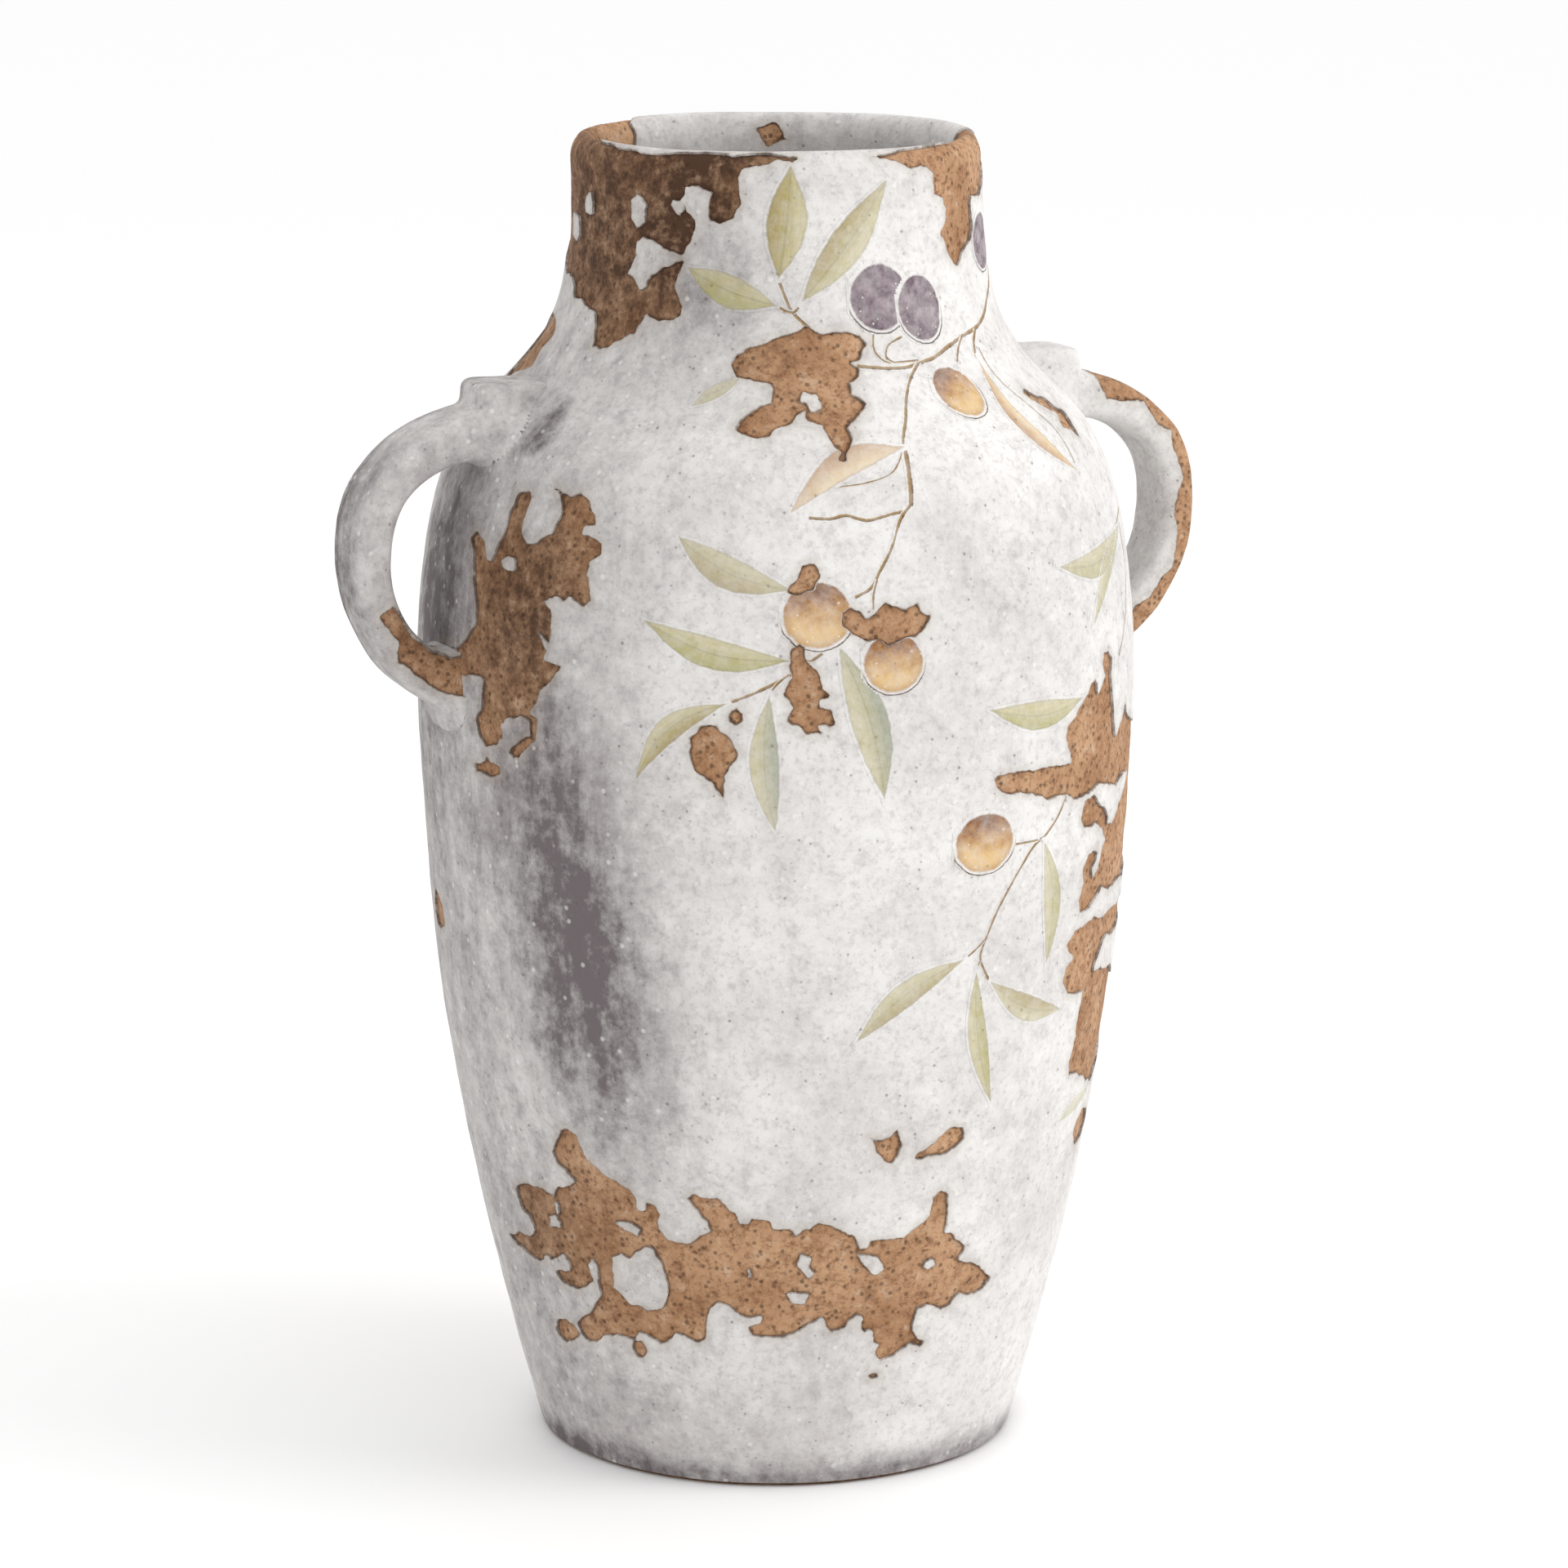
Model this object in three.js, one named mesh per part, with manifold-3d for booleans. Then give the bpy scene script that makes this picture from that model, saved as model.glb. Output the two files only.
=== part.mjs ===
// Amphora: a wheel-thrown terracotta jar with two strap handles and a thin lime coat.
//
// The pot is built the way a potter builds it. A floor disc, two body sections, a shoulder, a
// neck and a lip are thrown one by one and luted together on half-lap joints. Two straps are
// bent, trimmed to the wall and pressed on, and a thumb lug is pressed onto the root of each.
// A lime coat, laid on in six fields, then covers everything that shows.
//
// Millimetres, +Z up. The origin is the centre of the underside and the handles lie along X.

import * as THREE from "three";
import { mergeVertices } from "three/addons/utils/BufferGeometryUtils.js";
import Module from "manifold-3d";

// ---- Driving dimensions: the finished pot, outside the coat ----

const FOOT_RADIUS = 90.5;
const FOOT_FLARE = 0.29;             // how fast the wall opens at the foot, radius per height
const FOOT_CURVE = 87;               // pull of the foot on the lower wall
const BELLY_RADIUS = 136;
const BELLY_HEIGHT = 297;            // floor to the widest point
const BELLY_CURVE_BELOW = 111;
const BELLY_CURVE_ABOVE = 30;
const SHOULDER_RADIUS = 112.5;       // where the shoulder turns from round to hollow
const SHOULDER_RISE = 100;           // widest point to that turn
const SHOULDER_ANGLE = 45;           // slope of the wall there, degrees
const SHOULDER_CURVE_BELOW = 27;
const SHOULDER_CURVE_ABOVE = 40;
const NECK_RADIUS = 77;
const NECK_RISE = 93;                // shoulder turn to the root of the lip
const NECK_CURVE = 60;
const LIP_RISE = 10;                 // root of the lip to its crest

// ---- Walls and joints ----

const CLAY_WALL = 9;
const COAT = 1;                      // thickness of the lime coat
const FIT_GAP = 0.3;                 // between any two faces that meet
const LAP = 6;                       // height of the tongue of each half-lap joint
const FLOOR_SEAM = 8;                // floor disc to lower body, measured along the wall
const BODY_SEAM = 150;               // lower body to upper body, as a height
const SHOULDER_SEAM_RISE = 65;       // widest point to the seam under the shoulder
const NECK_SEAM_RISE = 42;           // shoulder turn to the seam under the neck
const LIP_SEAM_DROP = 12;            // root of the lip down to the seam under it
const LINING_DEPTH = 50;             // how far the coat runs down inside the mouth
const COAT_REVEAL = 1.5;             // bare clay left between the floor and the coat

// ---- Handles and lugs, outside the coat ----

const HANDLE_STANDOFF = 37.5;        // widest face of the belly to the outer face of the strap
const HANDLE_WIDTH = 30;
const HANDLE_TOP_DROP = 1.5;         // shoulder turn down to the middle of the upper root
const HANDLE_MIDDLE_RISE = 53.5;     // widest point of the belly to the furthest point of the strap
const HANDLE_BOTTOM_RISE = 3;        // widest point of the belly to the middle of the lower root
const STRAP_THICKNESS = 15;          // at the furthest point
const ROOT_THICKNESS = 20;           // at both roots
const STRAP_EDGE = 4;                // rounding of the strap's long edges
const TOP_CURVE = 45;                // pull of the upper root, outwards
const MIDDLE_CURVE = 24;             // pull of the furthest point, up and down
const BOTTOM_CURVE = 24;             // pull of the lower root
const BOTTOM_ANGLE = 16;             // rise of the strap off the lower root, degrees
const ROOT_BURIED = 6;               // how far each root starts inside the wall before it is cut
const LUG_LENGTH = 8.5;              // wall at the upper root to the nose of the lug
const LUG_BURIED = 25;               // how far the lug starts inside the wall before it is cut
const LUG_RISE = 7.5;                // top of the upper root to the top of the lug
const LUG_EDGE = 4;                  // rounding of the lug's nose

// ---- Fineness of the facets ----

const TURN_STEPS = 36;
const CURVE_ROWS = [4, 5, 4];        // rows on the wall's three curves, foot to lip
const LIP_STEPS = 6;
const STRAP_STEPS = 9;               // on each half of the strap
const EDGE_STEPS = 2;

// ---- Sizes that follow ----

const CLAY_FACE = COAT + FIT_GAP;                 // depth of the clay below the finished face
const CLAY_BACK = CLAY_FACE + CLAY_WALL;
const LAP_FACE = CLAY_FACE + CLAY_WALL / 2;       // depth of the step in each lap joint
const WALL = CLAY_BACK + FIT_GAP + COAT;          // full wall where the inside is coated too
const SHOULDER_HEIGHT = BELLY_HEIGHT + SHOULDER_RISE;
const LIP_ROOT = SHOULDER_HEIGHT + NECK_RISE;
const HANDLE_REACH = BELLY_RADIUS + HANDLE_STANDOFF;
const HANDLE_TOP = SHOULDER_HEIGHT - HANDLE_TOP_DROP;
const HANDLE_MIDDLE = BELLY_HEIGHT + HANDLE_MIDDLE_RISE;
const HANDLE_BOTTOM = BELLY_HEIGHT + HANDLE_BOTTOM_RISE;
const LUG_TOP = HANDLE_TOP + ROOT_THICKNESS / 2 + LUG_RISE;

const wasm = await Module();
wasm.setup();

const coatMaterial = new THREE.MeshStandardMaterial({ color: 0xd8d5d0, roughness: 0.85, metalness: 0 });
const clayMaterial = new THREE.MeshStandardMaterial({ color: 0xa8683c, roughness: 0.9, metalness: 0 });

// ---- The wall: one curve for the finished face, from the foot to the root of the lip ----

const turn = THREE.MathUtils.degToRad(SHOULDER_ANGLE);
const slope = new THREE.Vector2(-Math.cos(turn), Math.sin(turn));
const foot = new THREE.Vector2(FOOT_RADIUS, 0);
const belly = new THREE.Vector2(BELLY_RADIUS, BELLY_HEIGHT);
const shoulder = new THREE.Vector2(SHOULDER_RADIUS, SHOULDER_HEIGHT);
const lipRoot = new THREE.Vector2(NECK_RADIUS, LIP_ROOT);

const wallCurves = [
  new THREE.CubicBezierCurve(
    foot,
    new THREE.Vector2(FOOT_RADIUS + FOOT_FLARE * FOOT_CURVE, FOOT_CURVE),
    new THREE.Vector2(BELLY_RADIUS, BELLY_HEIGHT - BELLY_CURVE_BELOW),
    belly,
  ),
  new THREE.CubicBezierCurve(
    belly,
    new THREE.Vector2(BELLY_RADIUS, BELLY_HEIGHT + BELLY_CURVE_ABOVE),
    shoulder.clone().addScaledVector(slope, -SHOULDER_CURVE_BELOW),
    shoulder,
  ),
  new THREE.CubicBezierCurve(
    shoulder,
    shoulder.clone().addScaledVector(slope, SHOULDER_CURVE_ABOVE),
    new THREE.Vector2(NECK_RADIUS, LIP_ROOT - NECK_CURVE),
    lipRoot,
  ),
];

// A place on the wall is a distance along the finished face. These tables turn it into a point.
const FINE = 400;
const faceLine = [];
for (const curve of wallCurves) {
  for (let step = faceLine.length ? 1 : 0; step <= FINE; step += 1) {
    const point = curve.getPoint(step / FINE);
    const tangent = curve.getTangent(step / FINE);
    const last = faceLine.at(-1);
    const along = last ? last.along + last.point.distanceTo(point) : 0;
    faceLine.push({ along, point, outward: new THREE.Vector2(tangent.y, -tangent.x) });
  }
}
const FACE_LENGTH = faceLine.at(-1).along;

function between(low, high, value, key) {
  const share = (value - key(low)) / (key(high) - key(low));
  return {
    along: THREE.MathUtils.lerp(low.along, high.along, share),
    point: low.point.clone().lerp(high.point, share),
    outward: low.outward.clone().lerp(high.outward, share).normalize(),
  };
}

function find(value, key) {
  const above = faceLine.findIndex((entry) => key(entry) >= value);
  const high = above < 1 ? 1 : above;
  return between(faceLine[high - 1], faceLine[high], value, key);
}

const alongOf = (entry) => entry.along;
const heightOf = (entry) => entry.point.y;
const alongAtHeight = (height) => find(height, heightOf).along;

// The point that lies `depth` below the finished face, square to it, at a place on the wall.
function wallPoint(along, depth) {
  const { point, outward } = find(along, alongOf);
  return point.clone().addScaledVector(outward, -depth);
}

const seams = {
  floor: FLOOR_SEAM,
  body: alongAtHeight(BODY_SEAM),
  shoulder: alongAtHeight(BELLY_HEIGHT + SHOULDER_SEAM_RISE),
  neck: alongAtHeight(SHOULDER_HEIGHT + NECK_SEAM_RISE),
  lip: alongAtHeight(LIP_ROOT - LIP_SEAM_DROP),
};

// Every layer shares these rows, so two layers never cut through each other's facets.
const rows = [0, FACE_LENGTH];
CURVE_ROWS.forEach((count, index) => {
  for (let row = 1; row <= count; row += 1) {
    rows.push(faceLine[index * FINE + Math.round((row * FINE) / count)].along);
  }
});
for (const seam of Object.values(seams)) rows.push(seam, seam + LAP);
rows.sort((a, b) => a - b);

// A line of points at one depth between two places on the wall, both ends included.
function wallLine(from, to, depth) {
  const low = Math.min(from, to);
  const high = Math.max(from, to);
  const inside = rows.filter((row) => row > low + 1 && row < high - 1);
  const apart = inside.filter((row, index) => index === 0 || row - inside[index - 1] > 1);
  const places = [low, ...apart, high];
  if (from > to) places.reverse();
  return places.map((place) => wallPoint(place, depth));
}

// Half of an ellipse over the lip, at one depth, from the outer face to the inner face.
function lipLine(depth) {
  const halfWidth = WALL / 2 - depth;
  const rise = LIP_RISE - depth;
  const points = [];
  for (let step = 0; step <= LIP_STEPS; step += 1) {
    const angle = (Math.PI * step) / LIP_STEPS;
    const across = NECK_RADIUS - WALL / 2 + halfWidth * Math.cos(angle);
    points.push(new THREE.Vector2(across, LIP_ROOT + rise * Math.sin(angle)));
  }
  return points;
}

// ---- Solids ----

function toSolid(geometry) {
  const bare = geometry.clone();
  for (const name of Object.keys(bare.attributes)) if (name !== "position") bare.deleteAttribute(name);
  const merged = mergeVertices(bare, 1e-4);
  const mesh = new wasm.Mesh({
    numProp: 3,
    vertProperties: new Float32Array(merged.attributes.position.array),
    triVerts: new Uint32Array(merged.index.array),
  });
  return new wasm.Manifold(mesh);
}

function toGeometry(solid) {
  const { vertProperties, triVerts, numProp } = solid.getMesh();
  const geometry = new THREE.BufferGeometry();
  const places = new Float32Array((vertProperties.length / numProp) * 3);
  for (let vertex = 0; vertex < places.length / 3; vertex += 1) {
    places.set(vertProperties.subarray(vertex * numProp, vertex * numProp + 3), vertex * 3);
  }
  geometry.setAttribute("position", new THREE.BufferAttribute(places, 3));
  geometry.setIndex(new THREE.BufferAttribute(new Uint32Array(triVerts), 1));
  geometry.computeVertexNormals();
  return geometry;
}

// Turns an outline in radius and height about Z. The outline runs anticlockwise.
function turned(outline) {
  const closed = [...outline, outline[0].clone()];
  const lathe = new THREE.LatheGeometry(closed, TURN_STEPS);
  return lathe.rotateX(Math.PI / 2);
}

// A clay section between two seams, with the tongue of a half-lap joint at its upper end.
function claySection(lower, upper) {
  const half = FIT_GAP / 2;
  return turned([
    ...wallLine(lower + half, upper - half, CLAY_FACE),
    wallPoint(upper - half, LAP_FACE + half),
    wallPoint(upper + LAP - half, LAP_FACE + half),
    ...wallLine(upper + LAP - half, lower + LAP + half, CLAY_BACK),
    wallPoint(lower + LAP + half, LAP_FACE - half),
    wallPoint(lower + half, LAP_FACE - half),
  ]);
}

// The floor disc carries the first tongue, and its top is the floor inside the pot.
function floorDisc() {
  const half = FIT_GAP / 2;
  const rim = wallPoint(0, CLAY_FACE);
  const innerTop = wallPoint(FLOOR_SEAM + LAP - half, CLAY_BACK);
  return turned([
    new THREE.Vector2(0, 0),
    new THREE.Vector2(rim.x, 0),
    ...wallLine(COAT_REVEAL, FLOOR_SEAM - half, CLAY_FACE),
    wallPoint(FLOOR_SEAM - half, LAP_FACE + half),
    wallPoint(FLOOR_SEAM + LAP - half, LAP_FACE + half),
    innerTop,
    new THREE.Vector2(0, innerTop.y),
  ]);
}

function lipSection() {
  const half = FIT_GAP / 2;
  const lower = seams.lip;
  return turned([
    ...wallLine(lower + half, FACE_LENGTH, CLAY_FACE).slice(0, -1),
    ...lipLine(CLAY_FACE),
    ...wallLine(FACE_LENGTH, lower + LAP + half, CLAY_BACK).slice(1),
    wallPoint(lower + LAP + half, LAP_FACE - half),
    wallPoint(lower + half, LAP_FACE - half),
  ]);
}

// One field of the coat on the outside, between two places on the wall.
function coatField(from, to) {
  const half = FIT_GAP / 2;
  return turned([...wallLine(from + half, to - half, 0), ...wallLine(to - half, from + half, COAT)]);
}

// The coat over the lip, which runs on down inside the mouth.
function mouthCoat() {
  const start = seams.lip + FIT_GAP / 2;
  const end = alongAtHeight(LIP_ROOT - LINING_DEPTH);
  return turned([
    ...wallLine(start, FACE_LENGTH, 0).slice(0, -1),
    ...lipLine(0),
    ...wallLine(FACE_LENGTH, end, WALL).slice(1),
    ...wallLine(end, FACE_LENGTH, WALL - COAT).slice(0, -1),
    ...lipLine(COAT).reverse(),
    ...wallLine(FACE_LENGTH, start, COAT).slice(1),
  ]);
}

// All the room inside a surface that lies `depth` below the finished face.
function potCore(depth) {
  const line = wallLine(0, FACE_LENGTH, depth);
  return toSolid(turned([new THREE.Vector2(0, line[0].y), ...line, new THREE.Vector2(0, line.at(-1).y)]));
}

// ---- Handles and lugs ----

const rise = THREE.MathUtils.degToRad(BOTTOM_ANGLE);
const strapMiddle = HANDLE_REACH - STRAP_THICKNESS / 2;
const upperWall = find(HANDLE_TOP, heightOf).point.x;
const lowerWall = find(HANDLE_BOTTOM, heightOf).point.x;
const upperRoot = upperWall - ROOT_BURIED;
const lowerRoot = lowerWall - ROOT_BURIED;

const strapCurves = [
  new THREE.CubicBezierCurve(
    new THREE.Vector2(upperRoot, HANDLE_TOP),
    new THREE.Vector2(upperRoot + TOP_CURVE, HANDLE_TOP),
    new THREE.Vector2(strapMiddle, HANDLE_MIDDLE + MIDDLE_CURVE),
    new THREE.Vector2(strapMiddle, HANDLE_MIDDLE),
  ),
  new THREE.CubicBezierCurve(
    new THREE.Vector2(strapMiddle, HANDLE_MIDDLE),
    new THREE.Vector2(strapMiddle, HANDLE_MIDDLE - MIDDLE_CURVE),
    new THREE.Vector2(lowerRoot + BOTTOM_CURVE * Math.cos(rise), HANDLE_BOTTOM + BOTTOM_CURVE * Math.sin(rise)),
    new THREE.Vector2(lowerRoot, HANDLE_BOTTOM),
  ),
];

// The strap's side view, thicker at its roots, with both faces moved out by `grow`.
function strapOutline(grow) {
  const outer = [];
  const inner = [];
  strapCurves.forEach((curve, index) => {
    for (let step = index; step <= STRAP_STEPS; step += 1) {
      const share = step / STRAP_STEPS;
      const fromMiddle = index === 0 ? 1 - share : share;
      const thickness = THREE.MathUtils.lerp(STRAP_THICKNESS, ROOT_THICKNESS, fromMiddle ** 2);
      const tangent = curve.getTangent(share);
      const outward = new THREE.Vector2(-tangent.y, tangent.x);
      const point = curve.getPoint(share);
      outer.push(point.clone().addScaledVector(outward, thickness / 2 + grow));
      inner.push(point.clone().addScaledVector(outward, -thickness / 2 - grow));
    }
  });
  return new THREE.Shape([...outer, ...inner.reverse()]);
}

// The lug's side view: a block on the upper root with a rounded nose.
function lugOutline(grow) {
  const back = upperWall - LUG_BURIED;
  const nose = upperWall + LUG_LENGTH + grow;
  const top = LUG_TOP + grow;
  const edge = LUG_EDGE + grow;
  const shape = new THREE.Shape();
  shape.moveTo(back, HANDLE_TOP);
  shape.lineTo(nose, HANDLE_TOP);
  shape.lineTo(nose, top - edge);
  shape.absarc(nose - edge, top - edge, edge, 0, Math.PI / 2, false);
  shape.lineTo(back, top);
  shape.closePath();
  return shape;
}

// Gives a side view its width across Y, with rounded long edges.
function acrossWidth(outlineAt, grow) {
  const edge = STRAP_EDGE + grow;
  const shape = outlineAt(grow - edge);
  const depth = HANDLE_WIDTH + 2 * grow - 2 * edge;
  const geometry = new THREE.ExtrudeGeometry(shape, {
    depth,
    bevelEnabled: true,
    bevelThickness: edge,
    bevelSize: edge,
    bevelSegments: EDGE_STEPS,
    curveSegments: EDGE_STEPS + 1,
  });
  return toSolid(geometry.translate(0, 0, -depth / 2).rotateX(Math.PI / 2));
}

const strap = (grow) => acrossWidth(strapOutline, grow);
const lug = (grow) => acrossWidth(lugOutline, grow);

const clayCore = potCore(CLAY_FACE - FIT_GAP);
const coatCore = potCore(-FIT_GAP);
const strapClay = strap(-CLAY_FACE);
const strapRoom = strap(FIT_GAP - CLAY_FACE);
const lugRoom = lug(FIT_GAP - CLAY_FACE);

const handleSolid = strapClay.subtract(clayCore);
const lugSolid = lug(-CLAY_FACE).subtract(strapRoom).subtract(clayCore);
const handleCoatSolid = strap(0).add(lug(0)).subtract(strapRoom).subtract(lugRoom).subtract(coatCore);

const halfTurn = (solid) => solid.rotate([0, 0, 180]);
const handleHoles = strapRoom.add(lugRoom).add(halfTurn(strapRoom.add(lugRoom)));
const withHandleHoles = (geometry) => toGeometry(toSolid(geometry).subtract(handleHoles));

// ---- The assembly ----

const amphora = new THREE.Group();
const clay = new THREE.Group();
const coat = new THREE.Group();
amphora.add(clay, coat);

function addPart(group, name, geometry, material) {
  const mesh = new THREE.Mesh(geometry, material);
  mesh.name = name;
  group.add(mesh);
  return mesh;
}

addPart(clay, "base_disc", floorDisc(), clayMaterial);
addPart(clay, "lower_body", claySection(seams.floor, seams.body), clayMaterial);
addPart(clay, "upper_body", claySection(seams.body, seams.shoulder), clayMaterial);
addPart(clay, "shoulder", claySection(seams.shoulder, seams.neck), clayMaterial);
addPart(clay, "neck", claySection(seams.neck, seams.lip), clayMaterial);
addPart(clay, "lip", lipSection(), clayMaterial);

addPart(coat, "coat_lower_body", coatField(COAT_REVEAL, seams.body), coatMaterial);
addPart(coat, "coat_upper_body", withHandleHoles(coatField(seams.body, seams.shoulder)), coatMaterial);
addPart(coat, "coat_shoulder", withHandleHoles(coatField(seams.shoulder, seams.neck)), coatMaterial);
addPart(coat, "coat_neck", coatField(seams.neck, seams.lip), coatMaterial);
addPart(coat, "coat_mouth", mouthCoat(), coatMaterial);

for (const [side, angle] of [["right", 0], ["left", Math.PI]]) {
  const clayParts = new THREE.Group();
  const coatParts = new THREE.Group();
  clayParts.rotation.z = angle;
  coatParts.rotation.z = angle;
  clay.add(clayParts);
  coat.add(coatParts);
  addPart(clayParts, `handle_${side}`, toGeometry(handleSolid), clayMaterial);
  addPart(clayParts, `lug_${side}`, toGeometry(lugSolid), clayMaterial);
  addPart(coatParts, `coat_handle_${side}`, toGeometry(handleCoatSolid), coatMaterial);
}

export default amphora;
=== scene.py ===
"""Amphora: a hand-thrown terracotta jar with a painted and worn lime coat, around its CAD frame."""

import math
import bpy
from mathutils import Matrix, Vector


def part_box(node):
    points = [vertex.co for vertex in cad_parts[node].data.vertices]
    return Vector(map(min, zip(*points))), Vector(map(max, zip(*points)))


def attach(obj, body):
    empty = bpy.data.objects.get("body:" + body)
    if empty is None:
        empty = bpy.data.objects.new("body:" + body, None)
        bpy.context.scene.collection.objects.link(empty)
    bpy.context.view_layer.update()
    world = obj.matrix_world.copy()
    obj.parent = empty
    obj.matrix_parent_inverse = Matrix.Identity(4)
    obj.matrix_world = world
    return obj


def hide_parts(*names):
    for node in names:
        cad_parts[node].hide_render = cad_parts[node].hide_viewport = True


bl_info = {
    "name": "Worn amphora",
    "version": (1, 0, 0),
    "blender": (4, 5, 0),
    "location": "3D View > Sidebar > Amphora",
    "description": "Builds a terracotta amphora with a flaked lime coat and painted olive branches",
    "category": "Add Mesh",
}

import bmesh
import bpy
import numpy as np
from mathutils import Vector, noise

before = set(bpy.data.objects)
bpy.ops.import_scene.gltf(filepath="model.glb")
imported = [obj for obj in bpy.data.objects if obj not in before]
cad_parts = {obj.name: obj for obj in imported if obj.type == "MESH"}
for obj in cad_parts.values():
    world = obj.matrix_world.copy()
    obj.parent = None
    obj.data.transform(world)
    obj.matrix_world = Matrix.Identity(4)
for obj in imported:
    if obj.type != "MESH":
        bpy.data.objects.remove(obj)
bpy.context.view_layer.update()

MM = 0.001

# ---- Sizes of the finished pot in millimetres, from the frame and from the wall's own curves ----

BELLY_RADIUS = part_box("coat_upper_body")[1][1] / MM
NECK_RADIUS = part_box("coat_mouth")[1][1] / MM
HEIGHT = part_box("coat_mouth")[1][2] / MM
FOOT_RADIUS = 90.5
FOOT_FLARE = 0.29
FOOT_CURVE = 87
BELLY_HEIGHT = 297
BELLY_CURVES = (111, 30)
SHOULDER = (112.5, 397)
SHOULDER_SLOPE = math.radians(45)
SHOULDER_CURVES = (27, 40)
NECK_CURVE = 60
LIP_RISE = 10
LIP_ROOT = HEIGHT - LIP_RISE
WALL = 11.6
CLAY_WALL = 9
FLOOR_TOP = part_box("base_disc")[1][2] / MM

SEAMS = {
    "foot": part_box("coat_lower_body")[0][2] / MM,
    "body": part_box("coat_upper_body")[0][2] / MM,
    "shoulder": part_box("coat_shoulder")[0][2] / MM,
    "neck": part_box("coat_neck")[0][2] / MM,
    "lip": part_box("coat_neck")[1][2] / MM,
}

HANDLE_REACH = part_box("coat_handle_right")[1][0] / MM
HANDLE_WIDTH = (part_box("coat_handle_right")[1][1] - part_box("coat_handle_right")[0][1]) / MM
HANDLE_TOP = SHOULDER[1] - 1.5
HANDLE_MIDDLE = BELLY_HEIGHT + 53.5
HANDLE_BOTTOM = BELLY_HEIGHT + 3
STRAP_THICKNESS = 15
ROOT_THICKNESS = 20
LUG_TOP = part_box("coat_handle_right")[1][2] / MM
LUG_LENGTH = 8.5
MOUTH_DEPTH = 75
MOUTH_FOLLOWS = 0.9


# ---- The wall: one line from the foot, over the lip and down inside the mouth ----

def bezier(a, b, c, d, count=240):
    """Points on a cubic curve, as an array of radius and height."""
    t = np.linspace(0, 1, count)[:, None]
    a, b, c, d = (np.array(p, float) for p in (a, b, c, d))
    return (1 - t) ** 3 * a + 3 * (1 - t) ** 2 * t * b + 3 * (1 - t) * t**2 * c + t**3 * d


def wall_line():
    """Reach, radius, height and outward normal along the finished face.

    Reach is the height up to the root of the lip. Past that it goes on as distance along the face.
    """
    lean = np.array((-math.cos(SHOULDER_SLOPE), math.sin(SHOULDER_SLOPE)))
    turn = np.array(SHOULDER, float)
    foot = (FOOT_RADIUS, 0)
    belly = (BELLY_RADIUS, BELLY_HEIGHT)
    root = (NECK_RADIUS, LIP_ROOT)
    lower = bezier(foot, (FOOT_RADIUS + FOOT_FLARE * FOOT_CURVE, FOOT_CURVE),
                   (BELLY_RADIUS, BELLY_HEIGHT - BELLY_CURVES[0]), belly)
    upper = bezier(belly, (BELLY_RADIUS, BELLY_HEIGHT + BELLY_CURVES[1]),
                   turn - lean * SHOULDER_CURVES[0], turn)
    neck = bezier(turn, turn + lean * SHOULDER_CURVES[1], (NECK_RADIUS, LIP_ROOT - NECK_CURVE), root)
    outside = np.vstack([lower, upper[1:], neck[1:]])
    angle = np.linspace(0, math.pi, 80)[1:]
    lip = np.stack([NECK_RADIUS - WALL / 2 * (1 - np.cos(angle)), LIP_ROOT + LIP_RISE * np.sin(angle)], 1)
    inner = np.array([[lip[-1, 0], LIP_ROOT - drop] for drop in range(2, MOUTH_DEPTH, 2)])
    below = np.interp(inner[:, 1], outside[:, 1], outside[:, 0]) - NECK_RADIUS
    inner[:, 0] += below * MOUTH_FOLLOWS
    line = np.vstack([outside, lip, inner])
    steps = np.linalg.norm(np.diff(line, axis=0), axis=1)
    reach = np.concatenate([outside[:, 1], LIP_ROOT + np.cumsum(steps[len(outside) - 1:])])
    slope = np.gradient(line, axis=0)
    normal = np.stack([slope[:, 1], -slope[:, 0]], 1)
    normal /= np.linalg.norm(normal, axis=1)[:, None]
    return reach, line[:, 0], line[:, 1], normal[:, 0], normal[:, 1]


REACH, RADIUS, RISE, NORMAL_R, NORMAL_Z = wall_line()
MOUTH_END = REACH[-1]


def wall_places(angle, reach, depth=0.0):
    """Millimetre places on the wall for arrays of angle in degrees and reach."""
    turned = np.radians(angle)
    radius = np.interp(reach, REACH, RADIUS) - np.interp(reach, REACH, NORMAL_R) * depth
    height = np.interp(reach, REACH, RISE) - np.interp(reach, REACH, NORMAL_Z) * depth
    return np.stack([radius * np.sin(turned), -radius * np.cos(turned), height], 1)


def wall_outward(angle, reach):
    """Unit vectors that point out of the wall."""
    turned = np.radians(angle)
    across = np.interp(reach, REACH, NORMAL_R)
    return np.stack([across * np.sin(turned), -across * np.cos(turned), np.interp(reach, REACH, NORMAL_Z)], 1)


# What the potter's hands left, as a width and a depth in millimetres: slow waves, and finger marks
# that are squashed upwards into rings.
HAND_WAVE = (70, 0.8)
FINGER_MARK = (26, 0.22)
FINGER_SQUASH = 2.5


def hand_thrown(places):
    """How far the potter's hands left each place of the wall in or out, in millimetres."""
    wave, swell = HAND_WAVE
    finger, dent = FINGER_MARK
    return np.array([
        noise.noise(Vector(p) / wave) * swell
        + noise.noise(Vector((p[0], p[1], p[2] * FINGER_SQUASH)) / finger) * dent
        for p in places
    ])


# ---- Bare patches, where the coat has come off: outlines in degrees and reach ----

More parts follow.
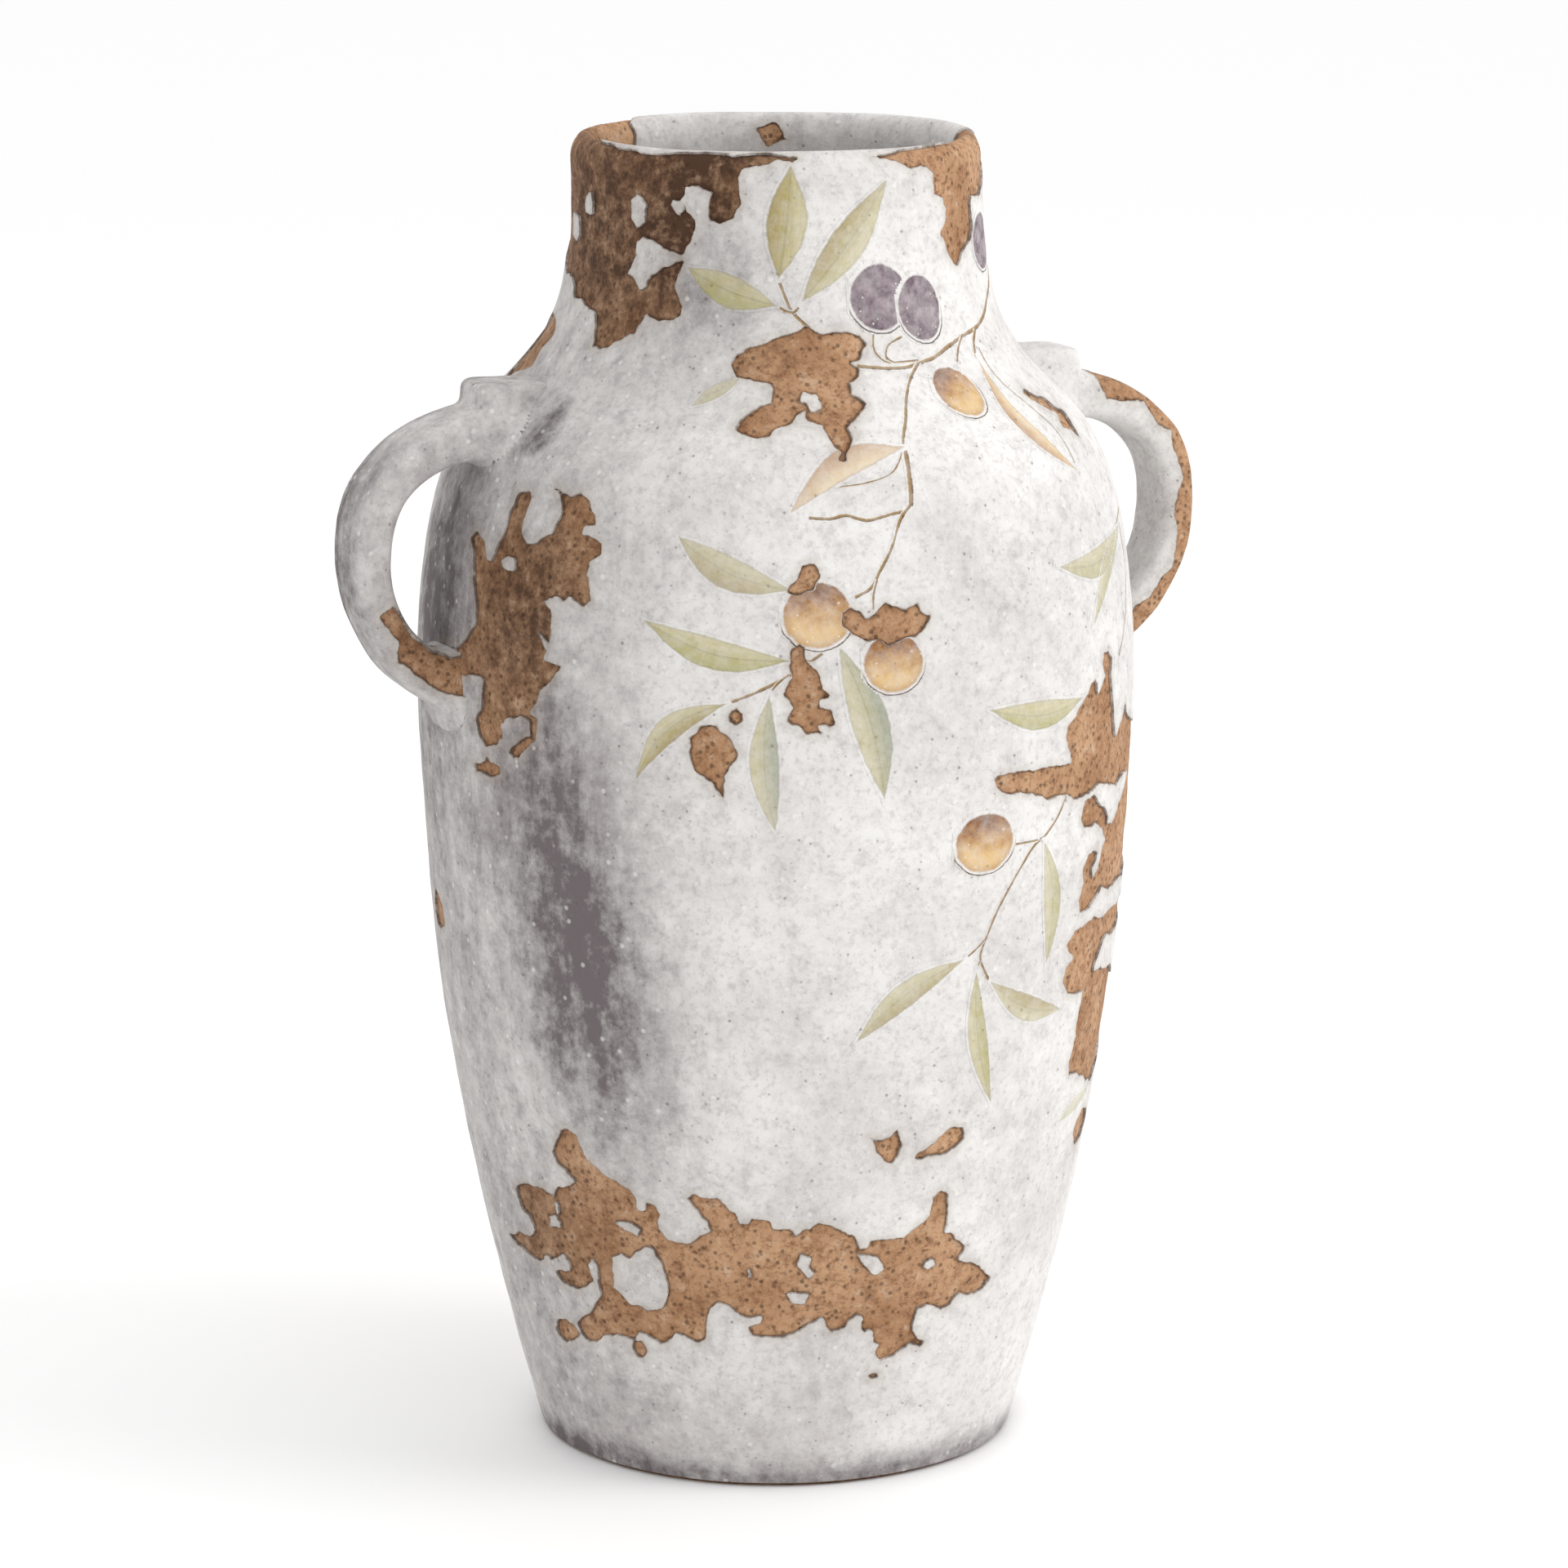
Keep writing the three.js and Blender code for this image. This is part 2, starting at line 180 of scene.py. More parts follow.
BARE = {
    "neck_left": [
        (-128, 478), (-124, 500), (-116, 512), (-102, 514), (-92, 506), (-84, 500), (-70, 499.5), (-52, 500),
        (-36, 500), (-26, 500.5), (-19, 499.5), (-18.2, 498), (-19.5, 496.6), (-23, 497.3), (-28, 495.8),
        (-33.5, 494.3), (-34.8, 491), (-34.2, 485), (-33.6, 481.5), (-35, 479.5), (-35.4, 477),
        (-37.5, 475.3),
        (-39.6, 474), (-41.8, 475.6), (-42.4, 480), (-41.3, 485.4), (-44, 486.2), (-49, 486.6),
        (-49.4, 484.2),
        (-51, 482.4), (-53.6, 483), (-54.3, 480), (-53, 476.8), (-51, 476), (-49.4, 480), (-47.8, 477),
        (-46.8, 474), (-47.6, 468), (-49.6, 466), (-50.4, 463), (-55, 464), (-59.5, 466.5), (-63, 467.6),
        (-65.5, 466), (-66, 460), (-68, 453.6), (-65, 452), (-63, 448.6), (-61, 450), (-60, 454), (-56, 456),
        (-52, 459.4), (-49.4, 460), (-50.4, 456), (-51.5, 451), (-49.8, 447), (-48.4, 444), (-49, 440),
        (-51.4, 438.4), (-55, 438.2), (-59.4, 439.4), (-60.4, 436.6), (-62.4, 433.4), (-65.4, 430.6),
        (-68.4, 430), (-69.4, 427.4), (-72, 426.2), (-75, 427), (-77, 432), (-79.6, 437.6), (-83, 440),
        (-89, 441.6), (-92, 442), (-93, 446), (-97, 449), (-103, 448.4), (-110, 450), (-118, 454),
        (-125, 462),
    ],
    "neck_right": [
        (2, 498.4), (7, 499.4), (13, 500), (20, 501), (28, 502), (36, 504), (44, 509), (52, 516), (62, 517),
        (70, 508), (76, 497), (72, 487), (62, 481), (54, 478), (46, 478.4), (44.6, 474), (45, 466),
        (43.4, 462),
        (40, 460.4), (37, 459), (34, 456), (31, 458.4), (29.4, 463), (27.4, 467.6), (29, 471.4), (29.6, 476),
        (28.2, 480), (24.6, 482), (23.6, 486), (24, 490), (22, 492.4), (17, 493.4), (13, 494.4), (9, 496),
        (4, 497),
    ],
    "mouth_left": [(-150, 506), (-136, 505), (-126, 509), (-122, 518), (-127, 530), (-139, 532), (-149, 524)],
    "mouth_spot": [(-171, 523), (-166, 528), (-162, 522), (-166, 519)],
    "mouth_back": [(152, 516), (159, 520), (163, 511), (157, 508)],
    "shoulder_centre": [
        (-34.2, 424.6), (-33, 427), (-29, 430.4), (-25, 433), (-21, 435), (-16, 437), (-12, 434.8),
        (-6, 434.6),
        (-3, 433.2), (-0.8, 431), (-2.6, 428.4), (-4, 426), (-7.2, 424.8), (-5, 422.6), (-5.2, 420.4),
        (-8, 418.4),
        (-7, 415), (-4.8, 411.4), (-6.6, 408), (-9.6, 405.4), (-10.4, 403.4), (-8.8, 401), (-9.2, 399),
        (-10.6, 395.6),
        (-11, 392.6), (-13.2, 392.8), (-12.6, 396), (-13.8, 399.6), (-15, 404), (-17.6, 406.6),
        (-18.2, 409.4),
        (-20.2, 408.6), (-20.6, 405.6), (-23.4, 404), (-25, 401), (-27.6, 400), (-30, 402), (-31.4, 403.6),
        (-30.4, 407), (-27, 411), (-25, 412), (-25.4, 418), (-27.6, 419.2), (-30, 420.6), (-32.6, 421),
    ],
    "shoulder_left": [
        (-122, 424), (-114, 432), (-105, 433), (-99, 431), (-96, 427), (-99, 421), (-96.6, 415.4),
        (-103, 412.4),
        (-110, 409), (-118, 412),
    ],
    "shoulder_right": [
        (39.6, 408.6), (42, 409.2), (45, 406.4), (48.4, 404), (49, 401), (51.8, 398), (50.4, 393.4),
        (49.6, 388),
        (48.2, 392.6), (45.2, 395.4), (47.4, 398.2), (47.2, 401), (43, 403), (41, 405.6),
    ],
    "body_left": [
        (-83, 357.4), (-82, 360.6), (-79, 358.4), (-77.6, 351.4), (-76.4, 351), (-75.6, 356), (-74.2, 360.6),
        (-73.6, 371), (-73, 377), (-70, 377.6), (-69, 376), (-70, 371), (-70, 364.4), (-68.4, 360.6),
        (-66, 361),
        (-65, 363), (-63, 365), (-62, 370.6), (-61.6, 374), (-63, 378.4), (-64.6, 380.6), (-60.4, 378.4),
        (-59, 380.6), (-57, 378), (-55, 374), (-54.6, 369.6), (-57, 369), (-57, 366), (-54, 364.8),
        (-53, 363.4),
        (-53.2, 360), (-55, 357), (-55, 352), (-54.2, 347), (-54, 343), (-55.4, 341.4), (-58, 343.4),
        (-59.2, 341),
        (-61, 342.4), (-64, 341), (-61.4, 338), (-61.6, 326), (-63, 329.4), (-65, 331.4), (-63.6, 327),
        (-62, 323), (-62.6, 320), (-59, 318.4), (-60.4, 313.4), (-63, 308), (-64, 303), (-65, 300),
        (-63.4, 298),
        (-64, 290), (-66, 286), (-67.6, 281.4), (-69, 281.4), (-70, 283), (-69.2, 286), (-67, 288),
        (-65.2, 291),
        (-65.2, 296), (-67, 297.6), (-70, 296), (-72, 293), (-71.4, 288), (-73, 284.4), (-75.6, 283.4),
        (-77, 286.6), (-77.6, 292), (-76, 297), (-76.2, 308), (-80, 309), (-86, 305), (-92, 304), (-92, 316),
        (-84, 317), (-81, 322), (-79, 328), (-79.6, 337), (-80.6, 345), (-81.4, 352),
    ],
    "body_left_chip": [
        (-79.6, 275.6), (-77, 278), (-75.4, 279.6), (-74, 278), (-72, 277.4), (-72, 274.4), (-75, 272),
        (-78.6, 272.4),
    ],
    "olive_chip": [(-22, 349.6), (-20.4, 353), (-19.4, 357.6), (-18, 358.4), (-17.2, 355), (-18.4, 351),
    (-20.4, 349)],
    "centre_right": [
        (-13.6, 341.6), (-12.4, 343.2), (-11, 341), (-10, 338), (-8.8, 340), (-7, 344), (-5.4, 343),
        (-4, 341.4),
        (-2.4, 342.6), (-1.2, 344.6), (-0.8, 340.6), (0.4, 338.6), (-0.2, 334.4), (-2.4, 331), (-5, 330),
        (-6.6, 328), (-8, 331), (-10.4, 331.4), (-12.4, 334.6), (-13.6, 338),
    ],
    "centre_low": [
        (-21.6, 329), (-20.4, 331.6), (-19.2, 330), (-19.4, 326), (-18, 321.4), (-17.2, 314), (-16, 313.2),
        (-15, 311), (-17.4, 310.6), (-17.4, 308), (-15.4, 307.6), (-15.2, 302), (-17.4, 301), (-17, 298.4),
        (-19.6, 297.4), (-20.6, 300.6), (-22.2, 303.4), (-21.4, 308), (-22.4, 313), (-21.4, 319),
        (-21.8, 324),
    ],
    "centre_left": [
        (-37.2, 291), (-37, 296), (-35.4, 300), (-33, 300.6), (-31, 297), (-30.2, 291.4), (-30.4, 287),
        (-31.6, 283), (-31.4, 279), (-31.8, 273.4), (-33, 276.6), (-34.6, 280), (-36.6, 284),
    ],
    "centre_dot": [(-31.4, 305.4), (-30, 308.4), (-28.6, 306.4), (-28.8, 303), (-30, 301.4), (-31.2, 302.6)],
    "body_right_upper": [
        (27.4, 287), (27.6, 291), (30, 294), (31.4, 297), (33, 301), (34, 304.6), (36, 306.6), (37, 303),
        (37, 299.6), (38, 302), (39.4, 305), (38.4, 310), (39, 313.6), (41, 314), (42.6, 311), (42, 304),
        (42.6, 298), (43.4, 292), (44, 285), (44.6, 280), (45.6, 282), (48, 284), (50, 289), (53, 284),
        (60, 279), (66, 276), (73, 270), (76, 262), (73, 240), (70, 221), (60, 219.4), (52, 221), (46, 220.4),
        (42, 222), (38.4, 218), (34, 217.4), (33.4, 222), (34.8, 228), (33.8, 234), (35.6, 238.4), (39, 238),
        (38.8, 235), (37.2, 232.6), (37.8, 229), (39.6, 232), (40.6, 237), (43, 241.4), (40.6, 246),
        (37.6, 250),
        (34, 250.6), (32.8, 254), (33.4, 259.6), (36.4, 261), (38, 257), (41.4, 254), (42.4, 250), (42, 246),
        (45, 245), (49, 252), (53, 258), (54, 262), (48, 262), (46, 261), (42, 262.6), (38, 265), (36, 263.4),
        (33, 262.6), (30, 263), (28, 265.4), (25, 265), (23, 264.4), (20, 268), (17, 270), (14, 270),
        (12.4, 273),
        (12.2, 276), (15, 277.4), (20, 276), (23, 277.6), (27, 276.4), (29, 276.6), (28.4, 280),
    ],
    "body_right_lower": [
        (31, 206), (33, 210.4), (36, 211), (40, 213), (44, 211), (50, 210.6), (58, 212), (66, 214), (71, 207),
        (67, 200), (56, 199), (50, 200), (47, 202), (45.4, 199), (44, 195), (42.4, 190), (48, 188.4),
        (53, 186),
        (60, 182), (68, 176), (71, 164), (66, 150), (58, 146), (52, 142), (48, 144.4), (44, 148), (41, 150.6),
        (38.4, 152), (37, 157), (37.4, 166), (38, 172), (38.6, 180), (38, 184), (36, 184.4), (33, 186.6),
        (31.4, 192), (31.6, 197), (33, 200), (31.4, 203),
    ],
    "body_right_dot": [(45, 124), (45.6, 128), (49, 131), (54, 130), (56, 124), (53, 119), (48, 118.4)],
    "body_edge_left": [(-103, 212), (-100, 217), (-96, 212), (-95.6, 206), (-100, 203), (-104, 206)],
    "low_chip_left": [
        (-8, 144), (-6.4, 143), (-4.4, 143.6), (-3, 145.6), (-2.2, 141), (-2.6, 136), (-3.2, 132.4),
        (-5, 134),
        (-7, 137.4), (-7.2, 141),
    ],
    "low_chip_right": [(1.2, 134.4), (3, 138), (5, 141.4), (7.4, 144), (9.6, 143), (10, 139), (7, 135),
    (4, 134)],
    "low_band": [
        (-88.4, 86.6), (-86, 88), (-83, 89.6), (-79, 90), (-77.4, 94), (-77.8, 98), (-80, 101), (-80.6, 105),
        (-81, 108.6), (-80, 111), (-77, 113), (-75.4, 113.6), (-72, 112.4), (-69.6, 111), (-69.2, 106),
        (-68.6, 104),
        (-68, 108), (-68.6, 112), (-67.4, 115.6), (-65, 117), (-63, 119.6), (-64.6, 122), (-67, 126),
        (-67.4, 130), (-66, 135), (-64.6, 139), (-63, 140), (-61.4, 138), (-61, 133), (-59.4, 129),
        (-56, 125),
        (-53, 122), (-51, 120.6), (-50, 117.4), (-50, 112), (-48.4, 112.6), (-48, 116), (-46.4, 115),
        (-45.4, 112),
        (-45.6, 107), (-44, 103), (-42.4, 100.8), (-40, 101), (-38, 104.4), (-36.4, 107), (-36.6, 110),
        (-37.6, 112), (-39, 116), (-40, 120), (-38.4, 122), (-36, 120), (-34, 119.4), (-32.4, 116),
        (-31, 115),
        (-30.6, 110.6), (-29, 110.6), (-28.4, 112.4), (-25, 111.6), (-24.6, 108.4), (-22, 108),
        (-20.4, 105.4),
        (-19.4, 107.6), (-16.4, 109.4), (-14, 108), (-12, 106), (-9.6, 105.4), (-9, 102), (-8.4, 99.4),
        (-7, 99.6),
        (-6.4, 102.4), (-3, 102), (0, 102), (1, 104.4), (4, 106.6), (5, 109.4), (5, 117), (6.6, 119),
        (8, 117.4),
        (8.8, 112), (9.2, 106), (9, 102), (10.6, 102), (12, 98), (13.4, 94), (12.4, 90.4), (12, 88),
        (13.4, 87),
        (16, 85), (19, 83), (21, 80.4), (22.4, 77.6), (21.4, 74.4), (19, 72.6), (16, 74), (14, 74),
        (12.4, 71),
        (10.6, 70), (9, 71.4), (7, 72.4), (4.8, 71.6), (4.4, 68), (4.6, 62), (6, 59.4), (8.4, 57), (7, 54.4),
        (4, 57), (2, 54.6), (0, 52.4), (-2, 50), (-3.4, 52.6), (-3.8, 56), (-3, 58.4), (-4.2, 59.6),
        (-4.6, 64),
        (-5.4, 65), (-6.4, 63.4), (-7, 66.4), (-6.6, 70.6), (-8, 72), (-9.6, 69.4), (-10.6, 67), (-13, 65),
        (-14.4, 67.4), (-15.4, 71), (-17, 69.4), (-20, 66), (-23, 64.4), (-25.6, 65), (-28.4, 64.6),
        (-29, 68),
        (-27, 70.4), (-26.6, 73), (-29, 71.6), (-31, 73), (-33, 76.4), (-35.4, 77.6), (-37, 75.4),
        (-37.6, 71),
        (-38, 66), (-38, 62), (-39.6, 59.4), (-41.4, 61), (-42.6, 63.4), (-44.4, 63), (-46, 60), (-48, 58.4),
        (-50, 61), (-52, 62), (-54, 58.6), (-58, 58.4), (-61, 57.6), (-63.6, 55), (-66, 54), (-67.6, 56.4),
        (-68, 59.4), (-66.4, 63), (-64, 66), (-62.4, 69.4), (-60.6, 74), (-60.6, 79), (-60.4, 85),
        (-61.6, 88.4),
        (-62.6, 86), (-62, 80), (-64, 76.6), (-67, 74), (-70, 75), (-71.8, 79), (-70, 80.4), (-68, 81.6),
        (-67.6, 85), (-69, 88), (-71, 86), (-73, 84), (-75, 84.4), (-77, 80.6), (-79, 81.4), (-81, 83),
        (-85, 84.4),
    ],
    "foot_dot_left": [
        (-76.4, 55), (-75.4, 59), (-72, 60), (-70, 58.4), (-68.6, 55.4), (-70.6, 52), (-73.4, 50), (-76, 52),
    ],
    "foot_dot_centre": [(-54.4, 54), (-54, 57.4), (-52, 58.4), (-51.2, 54.4), (-52.4, 51), (-54, 51.4)],
    "foot_dot_right": [(-5, 45.4), (-4.4, 47), (-2.4, 46.6), (-2.2, 44.4), (-3.6, 43.4)],
}

# Islands where the coat has stayed on inside a bare patch.
KEPT = {
    "neck_left": [
        [(-90, 473), (-89, 479), (-86.4, 481), (-85, 473)],
        [(-68, 481), (-65, 483), (-62, 479), (-62, 473), (-65, 470.5), (-67, 474)],
        [(-101, 463), (-100, 472), (-95, 471), (-93, 464), (-96, 461)],
    ],
    "shoulder_centre": [
        [(-21, 412.2), (-19, 413), (-18, 415.4), (-15.4, 414.6), (-14.8, 411), (-16.4, 410.4),
         (-17.4, 412.2)],
    ],
    "body_left": [[(-73.8, 352.4), (-72, 354.6), (-70.4, 354), (-70.4, 350), (-73, 350.4)]],
    "low_band": [
        [(-56.4, 91), (-56.8, 84), (-57, 79.4), (-55, 75), (-54, 72.4), (-50, 71), (-47, 73.4), (-45.2, 78),
         (-44.8, 84), (-46, 89), (-46.4, 93), (-47.4, 97.6), (-49.4, 97.6), (-51.4, 95.4), (-52.6, 91.4),
         (-54.4, 93)],
        [(-71.4, 98), (-71, 102), (-69.6, 103.4), (-68.2, 101), (-68.6, 98.4)],
        [(-54.6, 106), (-51.6, 107), (-49.8, 104.6), (-50.4, 101.4), (-53, 103)],
        [(-30, 91), (-29.4, 94), (-28.6, 92.4), (-28.2, 88.4), (-29.4, 88)],
        [(-19.4, 98), (-17.4, 97), (-17.8, 93.4), (-16.8, 90), (-18, 87), (-19.2, 90), (-20, 94)],
        [(-22, 82), (-19, 82.6), (-17, 82), (-18.4, 77.4), (-20.6, 78.4), (-21.6, 80)],
        [(-9, 97), (-5.4, 95.4), (-3.2, 90), (-5, 88), (-7.4, 92)],
        [(4.2, 88), (5, 91), (7, 91.6), (7.8, 88.4), (6, 87)],
        [(-6.6, 77), (-6.2, 81), (-5.2, 80.6), (-5.4, 77.6)],
    ],
}

# The back wears in the same way: patches of the front again, as (patch, turn, rise, mirrored).
BACK = [
    ("neck_right", 172, 0, False),
    ("shoulder_centre", 170, -4, True),
    ("body_left", 150, 14, True),
    ("body_left_chip", 216, 60, False),
    ("centre_right", 152, 12, False),
    ("centre_left", 226, -40, False),
    ("centre_low", 196, -96, True),
    ("body_right_lower", 176, -34, True),
    ("low_chip_left", 176, 34, False),
    ("low_chip_right", 202, 6, False),
    ("low_band", 150, -4, True),
    ("low_chip_right", 128, -40, False),
    ("low_chip_left", 224, -8, True),
]

# Patches on the near side of a handle, in distance from the pot's axis and height.
HANDLE_BARE = {
    -1: [
        (164, 330.5), (160, 334.5), (157, 331), (154.5, 327), (150, 322), (143, 316.5), (137, 314),
        (125, 312),
        (118, 309), (118, 298), (139, 300), (145, 303), (150, 307.5), (153.5, 310.5), (158, 313), (160, 317),
        (158.5, 321.5), (162, 326),
    ],
    1: [
        (127, 408), (129.5, 399), (132, 392.5), (140, 391.5), (148.5, 390), (152, 384.5), (154, 381),
        (160.5, 379),
        (162.5, 371), (164.5, 361), (162.5, 353), (162.5, 343), (163.5, 333), (162.5, 324), (157, 321),
        (153, 316), (146, 311), (143, 305), (150, 290), (170, 294), (190, 330), (192, 365), (176, 402),
        (146, 420),
    ],
}

# Where smoke, damp and dust have greyed the coat, and where shade is painted into it as grey: down the left
# side, which is turned from the light, on the wall behind each handle and deep inside the mouth; the coat is
# also darker all round the foot. Columns: angle, reach, half width in degrees, half height, strength.
STAINS_AND_SHADE = [
    (-57, 222, 12, 74, 1.0), (-66, 300, 12, 70, 0.5), (-50, 168, 15, 52, 0.5), (-84, 200, 18, 170, 0.5),
    (-45, 452, 20, 36, 0.6), (-95, 455, 40, 60, 0.35), (-62, 374, 12, 34, 0.3), (-46, 352, 8, 26, 0.28),
    (-75, 60, 30, 60, 0.4), (-30, 88, 22, 26, 0.18), (-50, 26, 34, 20, 0.26), (0, 3, 400, 7, 0.85),
    (-73.4, 404.5, 2.4, 5.5, 0.7), (-73, 394, 2.2, 5, 0.7), (-77, 398, 3, 12, 0.4), (-14, 50, 7, 26, 0.14),
    (18, 345, 18, 24, 0.16), (48, 350, 10, 50, 0.16), (-102, 300, 14, 90, 0.5),
    (180, 545, 400, 34, 0.5), (110, 240, 30, 120, 0.35), (176, 300, 26, 90, 0.5), (232, 160, 24, 110, 0.55),
    (150, 430, 30, 50, 0.35), (-92, 345, 16, 50, 0.7), (88, 340, 10, 44, 0.45),
]

# Where the bare clay is darker, in the same words: soot, and painted shade on the clay of the left side,
# which is turned from the light.
SOOT_AND_SHADE = [
    (-80, 470, 44, 60, 0.95), (-45, 480, 14, 40, 0.7), (-68, 335, 16, 50, 0.85), (-82, 100, 26, 60, 0.6),
    (-25, 502, 30, 7, 0.6), (200, 330, 40, 90, 0.4),
]

# ---- The painted branches, in degrees and reach ----

# Leaves: base, tip, width, sideways bow, tint, strength of the paint.
LEAVES = [
    ((-23.3, 454.5), (-20, 495.5), 15, 0.02, "olive", 1.0),
    ((-17.7, 446), (7.3, 489), 14, 0.02, "olive", 0.85),
    ((-23.7, 445), (-48.3, 458), 12, -0.04, "pale", 0.85),
    ((-32, 420), (-42, 410.5), 6, 0.02, "pale", 0.6),
    ((-21.5, 350), (-40.2, 368.5), 12, -0.08, "olive", 0.75),
    ((-21.8, 325), (-44.7, 338), 11.5, -0.08, "pale", 0.95),
    ((-31.3, 309.5), (-45.8, 280), 9, 0.14, "olive", 0.9),
    ((-25, 313), (-24, 262), 11, 0.06, "grey", 0.8),
    ((-14.4, 330), (-7.2, 272.5), 14, -0.05, "grey", 0.85),
    ((52, 355.5), (27.6, 349.5), 11, -0.1, "pale", 0.75),
    ((55, 356), (35.8, 324.5), 8.5, 0.1, "pale", 0.7),
    ((31.7, 300), (10.5, 302.5), 11, -0.08, "pale", 0.85),
    ((22.7, 249.5), (25.2, 201), 10, -0.08, "pale", 0.8),
    ((7.4, 210), (-11.2, 181.5), 10, 0.08, "olive", 0.8),
    ((9.7, 205), (15.4, 151), 8.5, 0.06, "pale", 0.9),
    ((12.7, 199.5), (31, 181.5), 10, 0.1, "olive", 0.75),
    ((50, 140), (36, 133.5), 6, 0.03, "pale", 0.5),
]

# Olives: centre, half width, half height, lean in degrees, ripe or not.
OLIVES = [
    ((4, 447), 12.3, 12.5, 0, True), ((16.3, 442), 10.3, 12.5, 0, True), ((53, 461), 11.5, 11, 0, True),
    ((19, 412.5), 10.2, 12, 28, False), ((-17.6, 341), 12.9, 12.3, 0, False),
    ((-5.8, 323), 11.6, 11, 0, False), ((10.4, 253), 13.4, 11.5, 0, False),
]

# Stems: width in millimetres and the places they pass through.
STEMS = [
    (2.0, [(62, 450), (56.7, 445), (50, 440.5), (44.7, 436), (40, 433), (36, 431.5), (30, 430), (23.3, 427.5),
           (17.3, 424.5), (12, 423), (7.3, 422), (0.7, 422.5), (-4.7, 423.5)]),
    (1.6, [(12, 423.5), (8, 418.5), (5, 412.5), (2.7, 405.5), (0.7, 400), (-0.3, 396)]),
    (1.1, [(1, 434), (0.5, 428.5), (2.7, 424.5), (6, 424), (12, 424)]),
    (1.1, [(9, 432.5), (4.7, 430), (3.3, 426), (5, 424)]),
    (1.2, [(29.3, 430), (26, 426), (23.7, 422)]),
    (1.6, [(-23.5, 455), (-21.6, 448), (-19.7, 442.5), (-15.3, 436.5)]),
    (1.2, [(-17.7, 446), (-18.4, 444), (-19.7, 442.5)]),
    (1.3, [(-23.7, 445), (-21.6, 443.2), (-19.7, 442.5)]),
    (1.5, [(-1.2, 378), (-3.4, 373), (-5.2, 364), (-7.4, 356), (-9.1, 350), (-11.6, 347)]),
    (1.1, [(-8, 353), (-8.7, 347.5), (-8.8, 342.5)]),
    (1.5, [(-16.9, 327.5), (-18.6, 325), (-22, 319.5), (-25.8, 315), (-28.6, 312), (-31.3, 309.5)]),
    (1.0, [(-18.6, 325), (-21.8, 325)]),
    (1.0, [(-22, 320), (-23.7, 317), (-25, 313)]),
    (1.1, [(52, 355.5), (55.5, 358), (60, 360)]),
    (1.1, [(56, 356), (55, 340), (52, 326), (48.5, 315.5), (45.8, 310)]),
    (1.4, [(27.7, 264.5), (25.6, 257), (22.7, 251), (20.2, 248), (16.3, 237), (13.4, 227), (11.6, 218.5),
           (10.7, 213.5), (10.4, 208.5), (12.4, 200)]),
    (1.1, [(15.6, 250.5), (20.9, 250.4), (22.7, 251)]),
    (1.0, [(10.9, 216), (9.4, 213), (7.4, 210)]),
    (0.9, [(10.4, 208.5), (9.7, 205)]),
    (1.6, [(36, 431), (33, 427), (31.3, 422.5)]),
    (2.4, [(1.3, 402), (0.2, 397), (-0.3, 390), (-0.8, 382), (-1.2, 378), (-2.4, 376)]),
    (1.5, [(-2.4, 376), (-5.2, 375), (-9.1, 373.5), (-12.4, 375.5), (-15.2, 374.5), (-18.6, 375)]),
    (0.8, [(-21, 377), (-19.5, 380.5), (-15.3, 384.5), (-8.7, 386), (-4, 388.5), (-1.7, 392.5), (0, 397.5)]),
    (0.8, [(34.2, 425), (34, 420), (34.7, 413.5), (38, 405), (40.7, 396), (41.3, 383)]),
]

# Dry curled leaves: base, tip, width, bow, tint, strength.
DRY_LEAVES = [
    ((31.6, 422), (41.3, 380), 9, 0.16, "dry", 0.85),
    ((0.6, 397), (-22, 376), 11, 0.14, "dry", 0.7),
]

# The lower branches come again round the back, by turn and rise, up to these reaches.
BACK_SPRIGS = [(156, -6)]
BACK_PAINT_TOP = 400
BACK_STEM_TOP = 380
TINTS = {"olive": "#9C8638", "pale": "#A9A25E", "grey": "#8B927C", "dry": "#B07F42"}


# ---- Fields: how bare, how stained, where shade is painted ----

def turned(angle, centre):
    """The angle from a centre line, between -180 and 180 degrees."""
    return (np.asarray(angle, float) - centre + 180) % 360 - 180


def outline_distance(across, up, outline):
    """Distance to a closed outline in millimetres, above zero inside it."""
    nearest = np.full(across.shape, 1e9)
    inside = np.zeros(across.shape, bool)
    ax, ay = outline[-1]
    for bx, by in outline:
        dx, dy = bx - ax, by - ay
        along = np.clip(((across - ax) * dx + (up - ay) * dy) / max(dx * dx + dy * dy, 1e-9), 0, 1)
        nearest = np.minimum(nearest, (across - ax - along * dx) ** 2 + (up - ay - along * dy) ** 2)
        crosses = (ay > up) != (by > up)
        inside ^= crosses & (across < ax + (up - ay) * dx / (dy or 1e-9))
        ax, ay = bx, by
    return np.where(inside, 1, -1) * np.sqrt(nearest)


FAR = 12.0
NEAR_EDGE = 5.0
BITE = 13
BITE_ROUGHNESS = 0.75
BITE_STEP = 2.3
BITE_LAYERS = 4


def patch_field(angle, reach, outline, islands):
    """How deep each place lies inside one bare patch, in millimetres, and at most FAR outside it."""
    centre = float(np.mean([p[0] for p in outline]))
    field = np.full(angle.shape, -FAR)
    radius = np.interp(reach, REACH, RADIUS)
    across = np.radians(turned(angle, centre)) * radius

    def flat(points):
        return [(math.radians(a - centre) * float(np.interp(v, REACH, RADIUS)), v) for a, v in points]

    line = flat(outline)
    low = np.min(line, axis=0) - FAR
    high = np.max(line, axis=0) + FAR
    near = (across > low[0]) & (across < high[0]) & (reach > low[1]) & (reach < high[1])
    if not near.any():
        return field
    inside = outline_distance(across[near], reach[near], line)
    for island in islands:
        inside = np.minimum(inside, -outline_distance(across[near], reach[near], flat(island)))
    field[near] = np.maximum(inside, -FAR)
    return field


